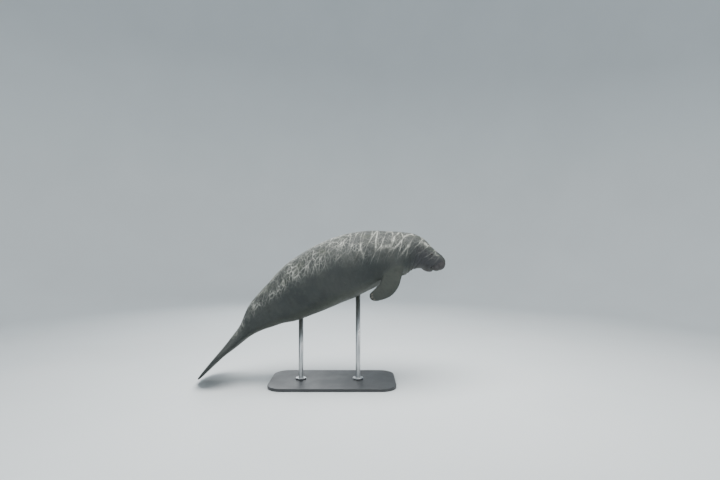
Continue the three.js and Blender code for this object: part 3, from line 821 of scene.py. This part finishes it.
def nail_beds(at):
    """A low fold of skin round each nail."""
    move = np.zeros(len(at.points))
    for side in SIDES.values():
        for place, (ahead, beside, facing) in nail_places(side):
            away = at.points - place
            size = np.hypot(away @ ahead / NAIL_SIZE[0], away @ beside / NAIL_SIZE[1])
            near = (np.abs(away @ facing) < 0.012) & (np.linalg.norm(away, axis=1) < 0.03)
            move += near * (0.0016 * mound(size - 1.25, 0.22) - 0.0012 * ramp(size, 1.0, 0.7))
    return move


def skin_map(s, angle, limb, limb_s, limb_angle):
    """The skin laid out flat: the body below, with more room for the head, and the flippers above it."""
    head_start = LENGTH - 0.46
    u = np.where(
        s < head_start, 0.70 * s / head_start, 0.70 + 0.30 * (s - head_start) / (LENGTH - head_start)
    )
    v = 0.02 + 0.78 * (angle / (2 * math.pi) + 0.5)
    limb_u = 0.02 + 0.44 * np.clip(limb_s / LIMB_LENGTH, 0, 1) + np.where(limb == LEFT, 0.50, 0.0)
    limb_v = 0.85 + 0.12 * (limb_angle / (2 * math.pi) + 0.5)
    return np.where(limb == 0, u, limb_u), np.where(limb == 0, v, limb_v)


def map_skin(mesh, at):
    """Gives the skin its flat map, with the faces along each seam kept whole."""
    limb_s, limb_angle = np.zeros(len(at.points)), np.zeros(len(at.points))
    for near, (s, _, _, angle, _) in at.limbs.values():
        limb_s[near], limb_angle[near] = s, angle
    corners = np.empty(len(mesh.loops), np.int64)
    mesh.loops.foreach_get("vertex_index", corners)
    starts = np.empty(len(mesh.polygons), np.int64)
    mesh.polygons.foreach_get("loop_start", starts)
    totals = np.empty(len(mesh.polygons), np.int64)
    mesh.polygons.foreach_get("loop_total", totals)
    face = np.repeat(np.arange(len(starts)), totals)
    limb = at.on_limb[corners[starts]][face]

    def unbroken(turn):
        low = np.minimum.reduceat(turn, starts)[face]
        high = np.maximum.reduceat(turn, starts)[face]
        return np.where((high - low > math.pi) & (turn < 0), turn + 2 * math.pi, turn)

    angle, limb_turn = unbroken(at.angle[corners]), unbroken(limb_angle[corners])
    u, v = skin_map(at.s[corners], angle, limb, limb_s[corners], limb_turn)
    layer = mesh.uv_layers.new(name="OFBake")
    layer.uv.foreach_set("vector", np.stack([u, v], 1).astype(np.float32).ravel())


def add_attribute(mesh, name, values):
    kind = "FLOAT" if values.ndim == 1 else "FLOAT_VECTOR"
    layer = mesh.attributes.new(name, kind, "POINT")
    layer.data.foreach_set("value" if kind == "FLOAT" else "vector", values.astype(np.float32).ravel())


def flesh_gap(at):
    """How far outside the body and flippers each vertex lies, with the corner between them filled."""
    share = np.clip(1 - np.abs(at.gap - at.limb_gap) / ROOT_BLEND, 0, 1)
    return np.minimum(at.gap, at.limb_gap) - share**2 * ROOT_BLEND / 4, share


def settled(mesh, points, edges, rounds, most, easing):
    """Moves the skin behind the head onto the body and flippers, and eases it where they meet."""
    for _ in range(rounds):
        set_places(mesh, points)
        at = Places(points)
        gap, share = flesh_gap(at)
        wanted = ramp(LENGTH - at.s, 0.36, 0.46) * ramp(at.s, 0.002, 0.020)
        points = points - normals_of(mesh) * (0.8 * wanted * np.clip(gap, -most, most))[:, None]
        points = relaxed(points, edges, easing, ramp(share, 0.0, 0.25) * wanted, (0.5,))
    return points


def from_eyes(points):
    eyes = [head_skin(*EYE_PLACE, side)[0] for side in SIDES.values()]
    return np.min([np.linalg.norm(points - eye, axis=1) for eye in eyes], axis=0)


def make_skin():
    skin = remeshed("skin", *flesh_shell())
    mesh = skin.data
    at = Places(places_of(mesh))
    edges = edges_of(mesh)
    points = relaxed(at.points, edges, 5)
    lips = mound(at.lips - np.minimum(at.gap, at.chin), 0.010)
    points = relaxed(points, edges, 3, lips, (0.5,))
    points = settled(mesh, points, edges, 5, 0.012, 4)
    at = Places(points)
    points = relaxed(points, edges, 30, ramp(at.solid, 0.95, 0.50))
    set_places(mesh, points)
    divided(mesh, (LENGTH - at.s < FINE_FRONT) | (at.limb_gap < FINE_LIMB) | (at.solid < FINE_SOLID))
    points = places_of(mesh)
    divided(mesh, (from_eyes(points) < FINE_EYE) | (head_coordinates(points)[:, 0] > FINE_FACE))
    divided(mesh, from_eyes(places_of(mesh)) < FINEST_EYE)
    at = Places(places_of(mesh))
    edges = edges_of(mesh)
    fine = np.maximum(ramp(LENGTH - at.s, 0.58, 0.52), ramp(at.limb_gap, 0.035, 0.020))
    points = relaxed(at.points, edges, 6, fine)
    points = relaxed(points, edges, 40, ramp(at.solid, 0.95, 0.50))
    points = settled(mesh, points, edges, 4, 0.003, 1)
    set_places(mesh, points)
    at = Places(points)
    points = points + normals_of(mesh) * large_forms(at)[:, None]
    points = relaxed(points, edges, 1)
    set_places(mesh, points)
    eye_move, hole = eye_forms(at)
    nostril_move, slit = nostril_forms(at)
    wrinkle_move, painted_light_mask = wrinkles(at)
    ground = bristle_ground(at)
    quiet = 1 - np.clip(hole + slit, 0, 1)
    stubble = 0.0009 * beads(at.points / 0.0085, 41) * ground
    ear = np.zeros(len(at.points))
    for side in SIDES.values():
        ear += mound(np.linalg.norm(at.points - head_skin(*EAR_PLACE, side)[0], axis=1), 0.0035)
    move = eye_move + nostril_move + (wrinkle_move + stubble) * quiet + nail_beds(at) - 0.006 * ear
    points = points + normals_of(mesh) * move[:, None]
    set_places(mesh, points)
    belly = (1 - np.cos(at.angle)) / 2
    # Painted shade: the eye sockets, nostril slits and ear holes are darkened in the skin's colour.
    dark = np.clip(hole + slit + ear, 0, 1)
    on_body = (at.on_limb == 0) * ramp(at.limb_gap, 0.0, 0.05)
    # Painted shade: a dark outline along the flippers' thin edges and tips.
    limb_rim = np.zeros(len(at.points))
    for side, (near, (s, _, _, angle, _)) in at.limbs.items():
        edge = np.maximum(ramp(np.abs(np.cos(angle)), 0.72, 0.98), ramp(s, LIMB_LENGTH - 0.07, LIMB_LENGTH))
        limb_rim[near] = np.maximum(limb_rim[near], edge * (at.on_limb[near] == side) * ramp(s, 0.10, 0.16))
    leaning = np.stack([at.s - STREAK_LEAN * at.rise, at.out, at.rise], 1)
    # Painted shade: these darken the skin's colour in the creases and in the openings.
    add_attribute(mesh, "crease", painted_light_mask)
    add_attribute(mesh, "opening", dark)
    add_attribute(mesh, "belly", belly * on_body + 0.72 * (1 - on_body))
    add_attribute(mesh, "muzzle", ground)
    add_attribute(mesh, "limb", 1 - on_body)
    add_attribute(mesh, "rim", limb_rim)
    # Where the painted caustic light falls: a net over the top of the body behind the head, drawn into
    # streaks on the neck.
    neck = ramp(LENGTH - at.s, 1.15, 0.72)
    upper = ramp(belly - 0.15 * neck, 0.48, 0.12) * (0.3 + 0.7 * ramp(at.s, 0.40, 0.80))
    add_attribute(mesh, "neck", neck)
    add_attribute(mesh, "painted_light_mask", upper * on_body * ramp(LENGTH - at.s, 0.09, 0.16))
    add_attribute(mesh, "head", ramp(LENGTH - at.s, 0.42, 0.26))
    add_attribute(mesh, "lay", leaning)
    map_skin(mesh, at)
    shade_smooth(skin)
    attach(skin, "root")
    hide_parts(*FLESH)
    return skin, at, ground


# Hair: bristles on the muzzle and sparse hairs on the body.


def face_table(mesh):
    """Each face's first three corners, and its area."""
    corners = read(mesh.loops, "vertex_index", np.int64)
    starts = read(mesh.polygons, "loop_start", np.int64)
    return corners[starts], corners[starts + 1], corners[starts + 2], read(mesh.polygons, "area")


def hair_piece(name, skin, at, weight, count, spec, seed):
    """Hairs set on the skin with a chance of weight at each vertex, joined as one piece."""
    draw = np.random.default_rng(seed)
    mesh = skin.data
    points, normals = places_of(mesh), normals_of(mesh)
    a, b, c, areas = face_table(mesh)
    chance = areas * (weight[a] + weight[b] + weight[c]) / 3
    picked = draw.choice(len(areas), count, p=chance / chance.sum())
    mix = draw.dirichlet((1, 1, 1), count)
    corner = np.stack([a[picked], b[picked], c[picked]], 1)
    roots = np.einsum("nk,nkd->nd", mix, points[corner])
    out = np.einsum("nk,nkd->nd", mix, normals[corner])
    out /= np.linalg.norm(out, axis=1, keepdims=True)
    backward = -section(at.s[corner[:, 0]])["forward"] + np.array([0, 0, -0.25])
    lie = backward - out * np.sum(backward * out, 1)[:, None]
    lie /= np.maximum(np.linalg.norm(lie, axis=1, keepdims=True), 1e-6)
    stray = draw.normal(0, 1, (count, 3)) * spec["stray"]
    length = draw.uniform(*spec["length"], count)[:, None]
    radius = draw.uniform(*spec["radius"], count)[:, None]
    steps, sides = spec["steps"], 3
    rings = []
    beside = np.cross(out, lie + 0.01)
    beside /= np.linalg.norm(beside, axis=1, keepdims=True)
    for k in range(steps + 1):
        t = k / steps
        way = out * (1 - spec["droop"] * t) + (lie * spec["droop"] + stray) * t
        middle = roots - out * HAIR_SINK + way * length * t
        for turn in np.arange(sides) * 2 * math.pi / sides:
            size = radius * (1 - 0.85 * t)
            rings.append(middle + size * (beside * math.cos(turn) + np.cross(out, beside) * math.sin(turn)))
    verts = np.stack(rings, 1)
    per_hair = (steps + 1) * sides
    faces = []
    for k in range(steps):
        for i in range(sides):
            j = (i + 1) % sides
            faces.append((k * sides + i, k * sides + j, (k + 1) * sides + j, (k + 1) * sides + i))
    faces = np.array(faces)
    caps = np.array([(0, 2, 1), (steps * sides, steps * sides + 1, steps * sides + 2)])
    shift = (np.arange(count) * per_hair)[:, None, None]
    quads, ends = (faces[None] + shift).reshape(-1, 4), (caps[None] + shift).reshape(-1, 3)
    piece = new_object(name, verts.reshape(-1, 3), quads.tolist() + ends.tolist())
    root = corner[:, 0]
    limb_s, limb_angle = np.zeros(len(points)), np.zeros(len(points))
    for near, (s, _, _, angle, _) in at.limbs.values():
        limb_s[near], limb_angle[near] = s, angle
    u, v = skin_map(at.s[root], at.angle[root], at.on_limb[root], limb_s[root], limb_angle[root])
    share = np.arange(per_hair) // sides / steps
    side_share = np.arange(per_hair) % sides / (sides - 1)
    along, around = u[:, None] + HAIR_PATCH * (share - 0.5), v[:, None] + HAIR_PATCH * (side_share - 0.5)
    places = np.stack([along, around], -1).reshape(-1, 2)
    corners = read(piece.data.loops, "vertex_index", np.int64)
    layer = piece.data.uv_layers.new(name="OFBake")
    layer.uv.foreach_set("vector", places[corners].astype(np.float32).ravel())
    shade_smooth(piece)
    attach(piece, "root")
    return piece


# Materials.


def new_material(name):
    material = bpy.data.materials.new(name)
    material.use_nodes = True
    tree = material.node_tree
    return material, tree, tree.nodes["Principled BSDF"]


def add(tree, kind, **settings):
    node = tree.nodes.new(kind)
    for name, value in settings.items():
        setattr(node, name, value)
    return node


def fill(node, **values):
    """Sets inputs of a node by name, with spaces written as underscores, to values or to linked outputs."""
    tree = node.id_data
    for name, value in values.items():
        socket = node.inputs[name.replace("_", " ")]
        if isinstance(value, bpy.types.NodeSocket):
            tree.links.new(value, socket)
        else:
            socket.default_value = value
    return node


def plug(tree, socket, value):
    if isinstance(value, bpy.types.NodeSocket):
        tree.links.new(value, socket)
    else:
        socket.default_value = value


def maths(tree, operation, *values):
    node = add(tree, "ShaderNodeMath", operation=operation)
    for socket, value in zip(node.inputs, values):
        plug(tree, socket, value)
    return node.outputs[0]


def times(tree, a, b):
    return maths(tree, "MULTIPLY", a, b)


def mixed(tree, factor, a, b):
    node = add(tree, "ShaderNodeMix", data_type="RGBA")
    for socket, value in ((node.inputs[0], factor), (node.inputs[6], a), (node.inputs[7], b)):
        plug(tree, socket, value)
    return node.outputs[2]


def stepped(tree, value, low, high, to_low=0.0, to_high=1.0):
    node = add(tree, "ShaderNodeMapRange", interpolation_type="SMOOTHSTEP")
    return fill(node, Value=value, From_Min=low, From_Max=high, To_Min=to_low, To_Max=to_high).outputs[0]


def scaled(tree, vector, scale, shift=(0, 0, 0)):
    node = add(tree, "ShaderNodeMapping")
    return fill(node, Vector=vector, Scale=scale, Location=shift).outputs[0]


def clouds(tree, vector, scale, detail=3.0, roughness=0.55, distortion=0.0):
    node = add(tree, "ShaderNodeTexNoise")
    fill(node, Vector=vector, Scale=scale, Detail=detail, Roughness=roughness, Distortion=distortion)
    return node.outputs[0]


def lines(tree, vector, scale, width, detail=1.0, distortion=0.3):
    """Thin winding lines: 1 on a line and 0 away from it."""
    value = clouds(tree, vector, scale, detail, 0.5, distortion)
    away = maths(tree, "ABSOLUTE", maths(tree, "SUBTRACT", value, 0.5))
    return stepped(tree, away, 0.0, width, 1.0, 0.0)


def attribute(tree, name, output="Fac"):
    return add(tree, "ShaderNodeAttribute", attribute_name=name).outputs[output]


def grey(red, green, blue):
    return (red, green, blue, 1.0)


def web(tree, vector, scale, core, halo):
    """A soft net of joined lines, from 0 to 1, for painted caustic light: a bright core with a faint halo
    beside it.
    """
    cells = add(tree, "ShaderNodeTexVoronoi", feature="DISTANCE_TO_EDGE")
    fill(cells, Vector=scaled(tree, vector, scale), Scale=1.0, Randomness=1.0)
    away = cells.outputs["Distance"]
    bright = stepped(tree, away, 0.0, core, 1.0, 0.0)
    return maths(tree, "ADD", times(tree, bright, 0.75), stepped(tree, away, 0.0, halo, 0.25, 0.0))


def wandering(tree, vector, scale, reach):
    """The vector moved about by noise, so that what is drawn along it wanders."""
    node = add(tree, "ShaderNodeTexNoise")
    fill(node, Vector=vector, Scale=scale, Detail=2.0, Roughness=0.5)
    shift = add(tree, "ShaderNodeVectorMath", operation="MULTIPLY_ADD")
    tree.links.new(node.outputs["Color"], shift.inputs[0])
    shift.inputs[1].default_value = (reach, reach, reach)
    tree.links.new(vector, shift.inputs[2])
    return shift.outputs[0]


def skin_colour(tree, where, lay, patches):
    belly = attribute(tree, "belly")
    back = stepped(tree, belly, 0.44, 0.06)
    broad = clouds(tree, where, 3.4, 3.0)
    colour = mixed(
        tree, stepped(tree, broad, 0.35, 0.68), grey(0.024, 0.029, 0.029), grey(0.039, 0.043, 0.041)
    )
    colour = mixed(tree, stepped(tree, patches, 0.44, 0.72, 0.0, 0.45), colour, grey(0.056, 0.060, 0.055))
    colour = mixed(tree, times(tree, back, 0.35), colour, grey(0.030, 0.034, 0.033))
    green = clouds(tree, scaled(tree, where, (7, 7, 7), (3, 8, 1)), 1.0, 4.0, 0.6)
    green = times(tree, stepped(tree, green, 0.46, 0.70, 0.0, 0.40), back)
    colour = mixed(tree, green, colour, grey(0.046, 0.055, 0.032))
    under = stepped(tree, belly, 0.74, 0.96, 0.0, 0.45)
    colour = mixed(tree, under, colour, grey(0.078, 0.084, 0.064))
    limb = times(tree, attribute(tree, "limb"), 0.40)
    colour = mixed(tree, limb, colour, grey(0.058, 0.064, 0.050))
    # Painted shade: the flippers' rims are darkened as an outline.
    rim = times(tree, attribute(tree, "rim"), 0.55)
    colour = mixed(tree, rim, colour, grey(0.022, 0.026, 0.025))
    cheek = times(tree, attribute(tree, "head"), stepped(tree, belly, 0.16, 0.42))
    colour = mixed(tree, times(tree, cheek, 0.50), colour, grey(0.040, 0.036, 0.045))
    muzzle = times(tree, attribute(tree, "muzzle"), 0.40)
    colour = mixed(tree, muzzle, colour, grey(0.074, 0.066, 0.064))
    # Painted light: a pale net like the caustics of sunlit water over the back, drawn out into leaning
    # streaks on the shoulder and neck.
    neck = attribute(tree, "neck")
    loose = web(tree, wandering(tree, lay, 8.0, 0.060), (19, 9, 9), 0.072, 0.17)
    tight = web(tree, wandering(tree, lay, 17.0, 0.035), (38, 20, 20), 0.080, 0.18)
    streak = web(tree, wandering(tree, lay, 5.0, 0.055), (13.5, 2.8, 2.8), 0.060, 0.13)
    net = maths(tree, "MAXIMUM", loose, times(tree, tight, 0.60))
    front = maths(tree, "MAXIMUM", streak, times(tree, tight, 0.35))
    net = mixed(tree, neck, net, front)
    # Painted light: noise that breaks up the pale net of caustic light.
    painted_light_mask = clouds(tree, scaled(tree, where, (8, 8, 8), (2, 4, 1)), 1.0, 3.0)
    painted_light_breakup = clouds(tree, where, 75.0, 4.0, 0.7)
    net = times(tree, net, stepped(tree, painted_light_mask, 0.36, 0.62, 0.22, 1.0))
    net = times(tree, net, stepped(tree, painted_light_breakup, 0.36, 0.60, 0.40, 1.0))
    net = times(tree, net, attribute(tree, "painted_light_mask"))
    colour = mixed(tree, times(tree, net, 0.95), colour, grey(0.50, 0.51, 0.46))
    # Fine speckle, then painted shade: the creases and the openings of the eyes, nostrils and ears darkened.
    speckle = clouds(tree, where, 240.0, 2.0, 0.7)
    colour = mixed(tree, stepped(tree, speckle, 0.54, 0.74, 0.0, 0.18), colour, grey(0.12, 0.12, 0.11))
    crease = times(tree, attribute(tree, "crease"), 0.50)
    colour = mixed(tree, crease, colour, grey(0.018, 0.020, 0.019))
    opening = times(tree, attribute(tree, "opening"), 0.85)
    return mixed(tree, opening, colour, grey(0.012, 0.011, 0.010))


def skin_material():
    material, tree, shader = new_material("skin")
    where = add(tree, "ShaderNodeTexCoord").outputs["Object"]
    lay = attribute(tree, "lay", "Vector")
    patches = clouds(tree, scaled(tree, where, (14, 14, 14)), 1.0, 4.0, 0.6)
    fill(shader, Base_Color=skin_colour(tree, where, lay, patches))
    fill(shader, Roughness=stepped(tree, patches, 0.3, 0.7, 0.55, 0.70))
    shader.inputs["Specular IOR Level"].default_value = 0.30
    # Fine cracked grain, close short creases that ring the body, and pores.
    cells = add(tree, "ShaderNodeTexVoronoi", feature="DISTANCE_TO_EDGE")
    cell_place = scaled(tree, wandering(tree, lay, 60.0, 0.006), (230, 110, 110))
    fill(cells, Vector=cell_place, Scale=1.0, Randomness=1.0)
    cracks = stepped(tree, cells.outputs["Distance"], 0.0, 0.20)
    short = lines(tree, scaled(tree, lay, (105, 58, 58), (1, 5, 3)), 1.0, 0.12, 2.0, 0.5)
    long = lines(tree, scaled(tree, lay, (48, 20, 20), (4, 2, 8)), 1.0, 0.09, 2.0, 0.6)
    pores = clouds(tree, where, 520.0, 2.0, 0.6)
    height = maths(tree, "ADD", times(tree, cracks, 0.42), times(tree, pores, 0.40))
    height = maths(tree, "SUBTRACT", height, times(tree, short, 0.36))
    height = maths(tree, "SUBTRACT", height, times(tree, long, 0.55))
    bump = fill(add(tree, "ShaderNodeBump"), Strength=0.55, Distance=0.0012, Height=height)
    fill(shader, Normal=bump.outputs[0])
    return material


def hair_material(name, light, dark):
    material, tree, shader = new_material(name)
    where = add(tree, "ShaderNodeTexCoord").outputs["Object"]
    tone = clouds(tree, where, 180.0, 2.0)
    fill(shader, Base_Color=mixed(tree, stepped(tree, tone, 0.35, 0.65), dark, light))
    shader.inputs["Roughness"].default_value = 0.45
    return material


def eye_material(name, centre, facing):
    """Dark brown iris round a black pupil, wet all over."""
    material, tree, shader = new_material(name)
    where = add(tree, "ShaderNodeTexCoord").outputs["Object"]
    away = add(tree, "ShaderNodeVectorMath", operation="SUBTRACT")
    tree.links.new(where, away.inputs[0])
    away.inputs[1].default_value = tuple(centre + facing * EYE_RADIUS)
    reach = add(tree, "ShaderNodeVectorMath", operation="LENGTH")
    tree.links.new(away.outputs[0], reach.inputs[0])
    radius = reach.outputs["Value"]
    fibres = clouds(tree, where, 900.0, 3.0, 0.6, 1.5)
    iris = mixed(tree, stepped(tree, fibres, 0.35, 0.7), grey(0.012, 0.008, 0.006), grey(0.050, 0.030, 0.018))
    colour = mixed(tree, stepped(tree, radius, 0.0022, 0.0030), grey(0.002, 0.002, 0.002), iris)
    colour = mixed(tree, stepped(tree, radius, 0.0062, 0.0076), colour, grey(0.060, 0.052, 0.048))
    fill(shader, Base_Color=colour)
    shader.inputs["Roughness"].default_value = 0.06
    shader.inputs["Specular IOR Level"].default_value = 0.35
    return material


def nail_material():
    material, tree, shader = new_material("nail")
    where = add(tree, "ShaderNodeTexCoord").outputs["Object"]
    bands = clouds(tree, scaled(tree, where, (900, 200, 300)), 1.0, 3.0)
    stain = clouds(tree, where, 160.0, 3.0)
    colour = mixed(
        tree, stepped(tree, bands, 0.35, 0.65), grey(0.060, 0.054, 0.045), grey(0.100, 0.090, 0.074)
    )
    colour = mixed(tree, stepped(tree, stain, 0.45, 0.70, 0.0, 0.6), colour, grey(0.036, 0.034, 0.030))
    fill(shader, Base_Color=colour)
    fill(shader, Roughness=stepped(tree, bands, 0.3, 0.7, 0.34, 0.50))
    bump = fill(add(tree, "ShaderNodeBump"), Strength=0.4, Distance=0.0004, Height=bands)
    fill(shader, Normal=bump.outputs[0])
    return material


def painted_material():
    """Smooth satin paint over board, with faint roller texture and a little dust."""
    material, tree, shader = new_material("stand_base")
    where = add(tree, "ShaderNodeTexCoord").outputs["Object"]
    broad = clouds(tree, where, 5.0, 4.0)
    dust = clouds(tree, where, 95.0, 5.0, 0.7)
    colour = mixed(
        tree, stepped(tree, broad, 0.35, 0.7), grey(0.026, 0.028, 0.031), grey(0.036, 0.038, 0.041)
    )
    colour = mixed(tree, stepped(tree, dust, 0.58, 0.80, 0.0, 0.25), colour, grey(0.11, 0.11, 0.105))
    fill(shader, Base_Color=colour)
    fill(shader, Roughness=stepped(tree, broad, 0.3, 0.7, 0.36, 0.50))
    roller = clouds(tree, where, 700.0, 2.0)
    bump = fill(add(tree, "ShaderNodeBump"), Strength=0.18, Distance=0.0004, Height=roller)
    fill(shader, Normal=bump.outputs[0])
    return material


def steel_material():
    """Brushed steel, with the brush marks running round the rod."""
    material, tree, shader = new_material("stand_rod")
    where = add(tree, "ShaderNodeTexCoord").outputs["Object"]
    brush = clouds(tree, scaled(tree, where, (30, 30, 2600)), 1.0, 3.0, 0.6)
    smear = clouds(tree, where, 14.0, 3.0)
    brushed = mixed(
        tree, stepped(tree, brush, 0.3, 0.7), grey(0.46, 0.47, 0.48), grey(0.60, 0.61, 0.62)
    )
    fill(shader, Base_Color=brushed)
    shader.inputs["Metallic"].default_value = 1.0
    fill(shader, Roughness=stepped(tree, smear, 0.3, 0.7, 0.27, 0.38))
    bump = fill(add(tree, "ShaderNodeBump"), Strength=0.12, Distance=0.0003, Height=brush)
    fill(shader, Normal=bump.outputs[0])
    return material


# The eyes, nails and stand.


def dress(piece, material, slot, *nodes):
    piece.data.materials.append(material)
    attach(piece, "root")
    if nodes:
        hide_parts(*nodes)
    return piece


def make_eyes():
    for label, side in SIDES.items():
        place, facing = head_skin(*EYE_PLACE, side)
        centre = place - facing * EYE_SINK
        ahead = HEAD_FORWARD - facing * (HEAD_FORWARD @ facing)
        ahead /= np.linalg.norm(ahead)
        verts, faces = ball(centre, (EYE_RADIUS,) * 3, (ahead, np.cross(facing, ahead), facing), 64, 48)
        # The cornea stands a little proud of the ball.
        away = verts - centre
        front = away @ facing / EYE_RADIUS
        verts = centre + away * (1 + 0.035 * ramp(front, 0.72, 1.0))[:, None]
        piece = new_object(f"eyeball_{label}", verts, faces)
        shade_smooth(piece)
        dress(piece, eye_material(f"eye_{label}", centre, facing), "eye", f"eye_{label}")


def make_nails():
    material = nail_material()
    for label, side in SIDES.items():
        for number, (place, axes) in enumerate(nail_places(side), 1):
            verts, faces = ball((0, 0, 0), (1, 1, 1), np.eye(3), 40, 28)
            along_nail, across_nail, height = verts.T
            # A nail is a low arch, fuller at its root and thinner towards a blunt end.
            across_nail = across_nail * (1 - 0.18 * along_nail)
            height = height * (1 - 0.35 * ramp(along_nail, -0.2, 1.0))
            ridges = 1 + 0.05 * np.sin(across_nail * 16) * ramp(height, 0.1, 0.5)
            shaped = np.stack([along_nail, across_nail, height * ridges], 1) * np.array(NAIL_SIZE)
            piece = new_object(f"claw_{label}_{number}", shaped @ np.array(axes) + place, faces)
            shade_smooth(piece)
            dress(piece, material, "nail", f"nail_{label}_{number}")


def slab_rings(centre, half, corner, profile):
    """Rings of a slab with round corners. profile is pairs of inset and height."""
    turn = np.linspace(0, 2 * math.pi, 128, endpoint=False)
    quarter = np.floor(turn / (math.pi / 2)).astype(int) % 4
    sign = np.array([(1, 1), (-1, 1), (-1, -1), (1, -1)])[quarter]
    within = (turn % (math.pi / 2)) * (1 + 1 / 31)
    way = np.stack([np.cos(quarter * math.pi / 2 + within), np.sin(quarter * math.pi / 2 + within)], 1)
    rings = []
    for inset, height in profile:
        flat = centre + sign * (half - corner) + way * (corner - inset)
        rings.append(np.column_stack([flat, np.full(len(flat), height)]))
    return np.array(rings)


def make_base():
    low, high = (np.array(corner) for corner in (base_low, base_high))
    bevel, steps = 0.004, 5
    arc = [math.pi / 2 * k / steps for k in range(steps + 1)]
    lower = [(bevel * (1 - math.sin(a)), low[2] + bevel * (1 - math.cos(a))) for a in arc]
    upper = [(bevel * (1 - math.cos(a)), high[2] - bevel * (1 - math.sin(a))) for a in arc]
    rings = slab_rings((low[:2] + high[:2]) / 2, (high[:2] - low[:2]) / 2, 0.150, lower + upper)
    piece = new_object("display_base", *tube(rings))
    shade_smooth(piece)
    dress(piece, painted_material(), "stand_base", "stand_base")
    sharp = piece.modifiers.new("edges", "WEIGHTED_NORMAL")
    sharp.keep_sharp = True


def rod_profile(bottom, top):
    """Radius and height up the rod: a rounded round foot, a small fillet, then the rod."""
    foot, height, rod, soft = 0.052, 0.016, 0.023, 0.003
    arc = [math.pi / 2 * k / 5 for k in range(6)]
    edge = [(foot - soft * (1 - math.cos(a)), bottom + height - soft * (1 - math.sin(a))) for a in arc]
    fillet = [(rod + soft * (1 - math.sin(a)), bottom + height + soft * (1 - math.cos(a))) for a in arc]
    return [(foot - 0.001, bottom), (foot, bottom + 0.001), *edge, *fillet, (rod, bottom + 0.1), (rod, top)]


def make_rods():
    steel = steel_material()
    for label in ("rear", "front"):
        node = f"stand_rod_{label}"
        low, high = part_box(node)
        x = (low.x + high.x) / 2
        turn = np.linspace(0, 2 * math.pi, 72, endpoint=False)
        rings = np.array(
            [
                np.stack([x + r * np.cos(turn), r * np.sin(turn), np.full(72, z)], 1)
                for r, z in rod_profile(low.z, high.z)
            ]
        )
        parts = [tube(rings)]
        for k in range(4):
            # Button-headed screws hold the foot down.
            a = math.pi / 4 + k * math.pi / 2
            spot = (x + 0.038 * math.cos(a), 0.038 * math.sin(a), low.z + 0.016)
            parts.append(ball(spot, (0.0055, 0.0055, 0.003), np.eye(3), 24, 12))
        piece = new_object(f"display_rod_{label}", *joined(parts))
        shade_smooth(piece)
        dress(piece, steel, "stand_rod", node)


# The studio: a pale floor that curves up into a pale wall all round, soft lights and the camera.


def make_studio():
    radius, height, bend = 9.0, 13.0, 2.5
    arc = [math.pi / 2 * k / 12 for k in range(13)]
    profile = [(0.01, 0.0), (radius - bend, 0.0)]
    profile += [(radius - bend + bend * math.sin(a), bend * (1 - math.cos(a))) for a in arc[1:]]
    profile.append((radius, height))
    turn = np.linspace(0, 2 * math.pi, 96, endpoint=False)
    verts = np.concatenate(
        [np.stack([r * np.cos(turn), r * np.sin(turn), np.full(96, z)], 1) for r, z in profile]
    )
    faces = []
    for k in range(len(profile) - 1):
        for i in range(96):
            j = (i + 1) % 96
            faces.append((k * 96 + i, k * 96 + j, (k + 1) * 96 + j, (k + 1) * 96 + i))
    faces.append(tuple(range(96)))
    floor = new_object("studio_floor", verts, faces)
    shade_smooth(floor)
    material, tree, shader = new_material("studio_floor")
    where = add(tree, "ShaderNodeTexCoord").outputs["Object"]
    tone = clouds(tree, where, 0.8, 2.0)
    fill(shader, Base_Color=mixed(tree, tone, grey(0.60, 0.63, 0.64), grey(0.66, 0.69, 0.70)))
    shader.inputs["Roughness"].default_value = 0.85
    floor.data.materials.append(material)


def add_light(name, place, target, size, energy, colour):
    light = bpy.data.lights.new(name, "AREA")
    light.shape = "RECTANGLE"
    light.size, light.size_y = size
    light.energy = energy
    light.color = colour
    lamp = bpy.data.objects.new(name, light)
    lamp.location = place
    way = Vector(target) - Vector(place)
    lamp.rotation_euler = way.to_track_quat("-Z", "Y").to_euler()
    bpy.context.scene.collection.objects.link(lamp)


def make_lights():
    for name, settings in LIGHTS.items():
        add_light(name, *settings)
    world = bpy.data.worlds.new("studio")
    world.use_nodes = True
    background = world.node_tree.nodes["Background"]
    background.inputs["Color"].default_value = (0.80, 0.90, 1.0, 1.0)
    background.inputs["Strength"].default_value = 0.80
    bpy.context.scene.world = world


def make_camera():
    """Level with the animal's back and square to its side, as the photograph was taken."""
    data = bpy.data.cameras.new("camera")
    data.lens, data.sensor_width = 24.0, 36.0
    camera = bpy.data.objects.new("camera", data)
    camera.location = (ORIGIN[0] + 1.60, -4.8, ORIGIN[2] + 1.38)
    camera.rotation_euler = (math.pi / 2, 0, 0)
    bpy.context.scene.collection.objects.link(camera)
    bpy.context.scene.camera = camera


make_camera()
make_studio()
make_lights()
make_base()
make_rods()
make_eyes()
make_nails()
skin, at, ground = make_skin()
skin.data.materials.clear()
skin.data.materials.append(skin_material())

bristles = hair_piece("muzzle_bristles", skin, at, ground, BRISTLES, BRISTLE, 5)
bristles.data.materials.append(hair_material("bristle", grey(0.27, 0.25, 0.21), grey(0.11, 0.10, 0.085)))
bare = np.where((at.lips < 0.004) | (at.chin < 0.002), 0.0, 1.0) * (LENGTH - at.s > 0.05)
hairs = hair_piece("body_hairs", skin, at, bare, BODY_HAIRS, BODY_HAIR, 6)
hairs.data.materials.append(hair_material("body_hair", grey(0.075, 0.072, 0.062), grey(0.040, 0.038, 0.034)))
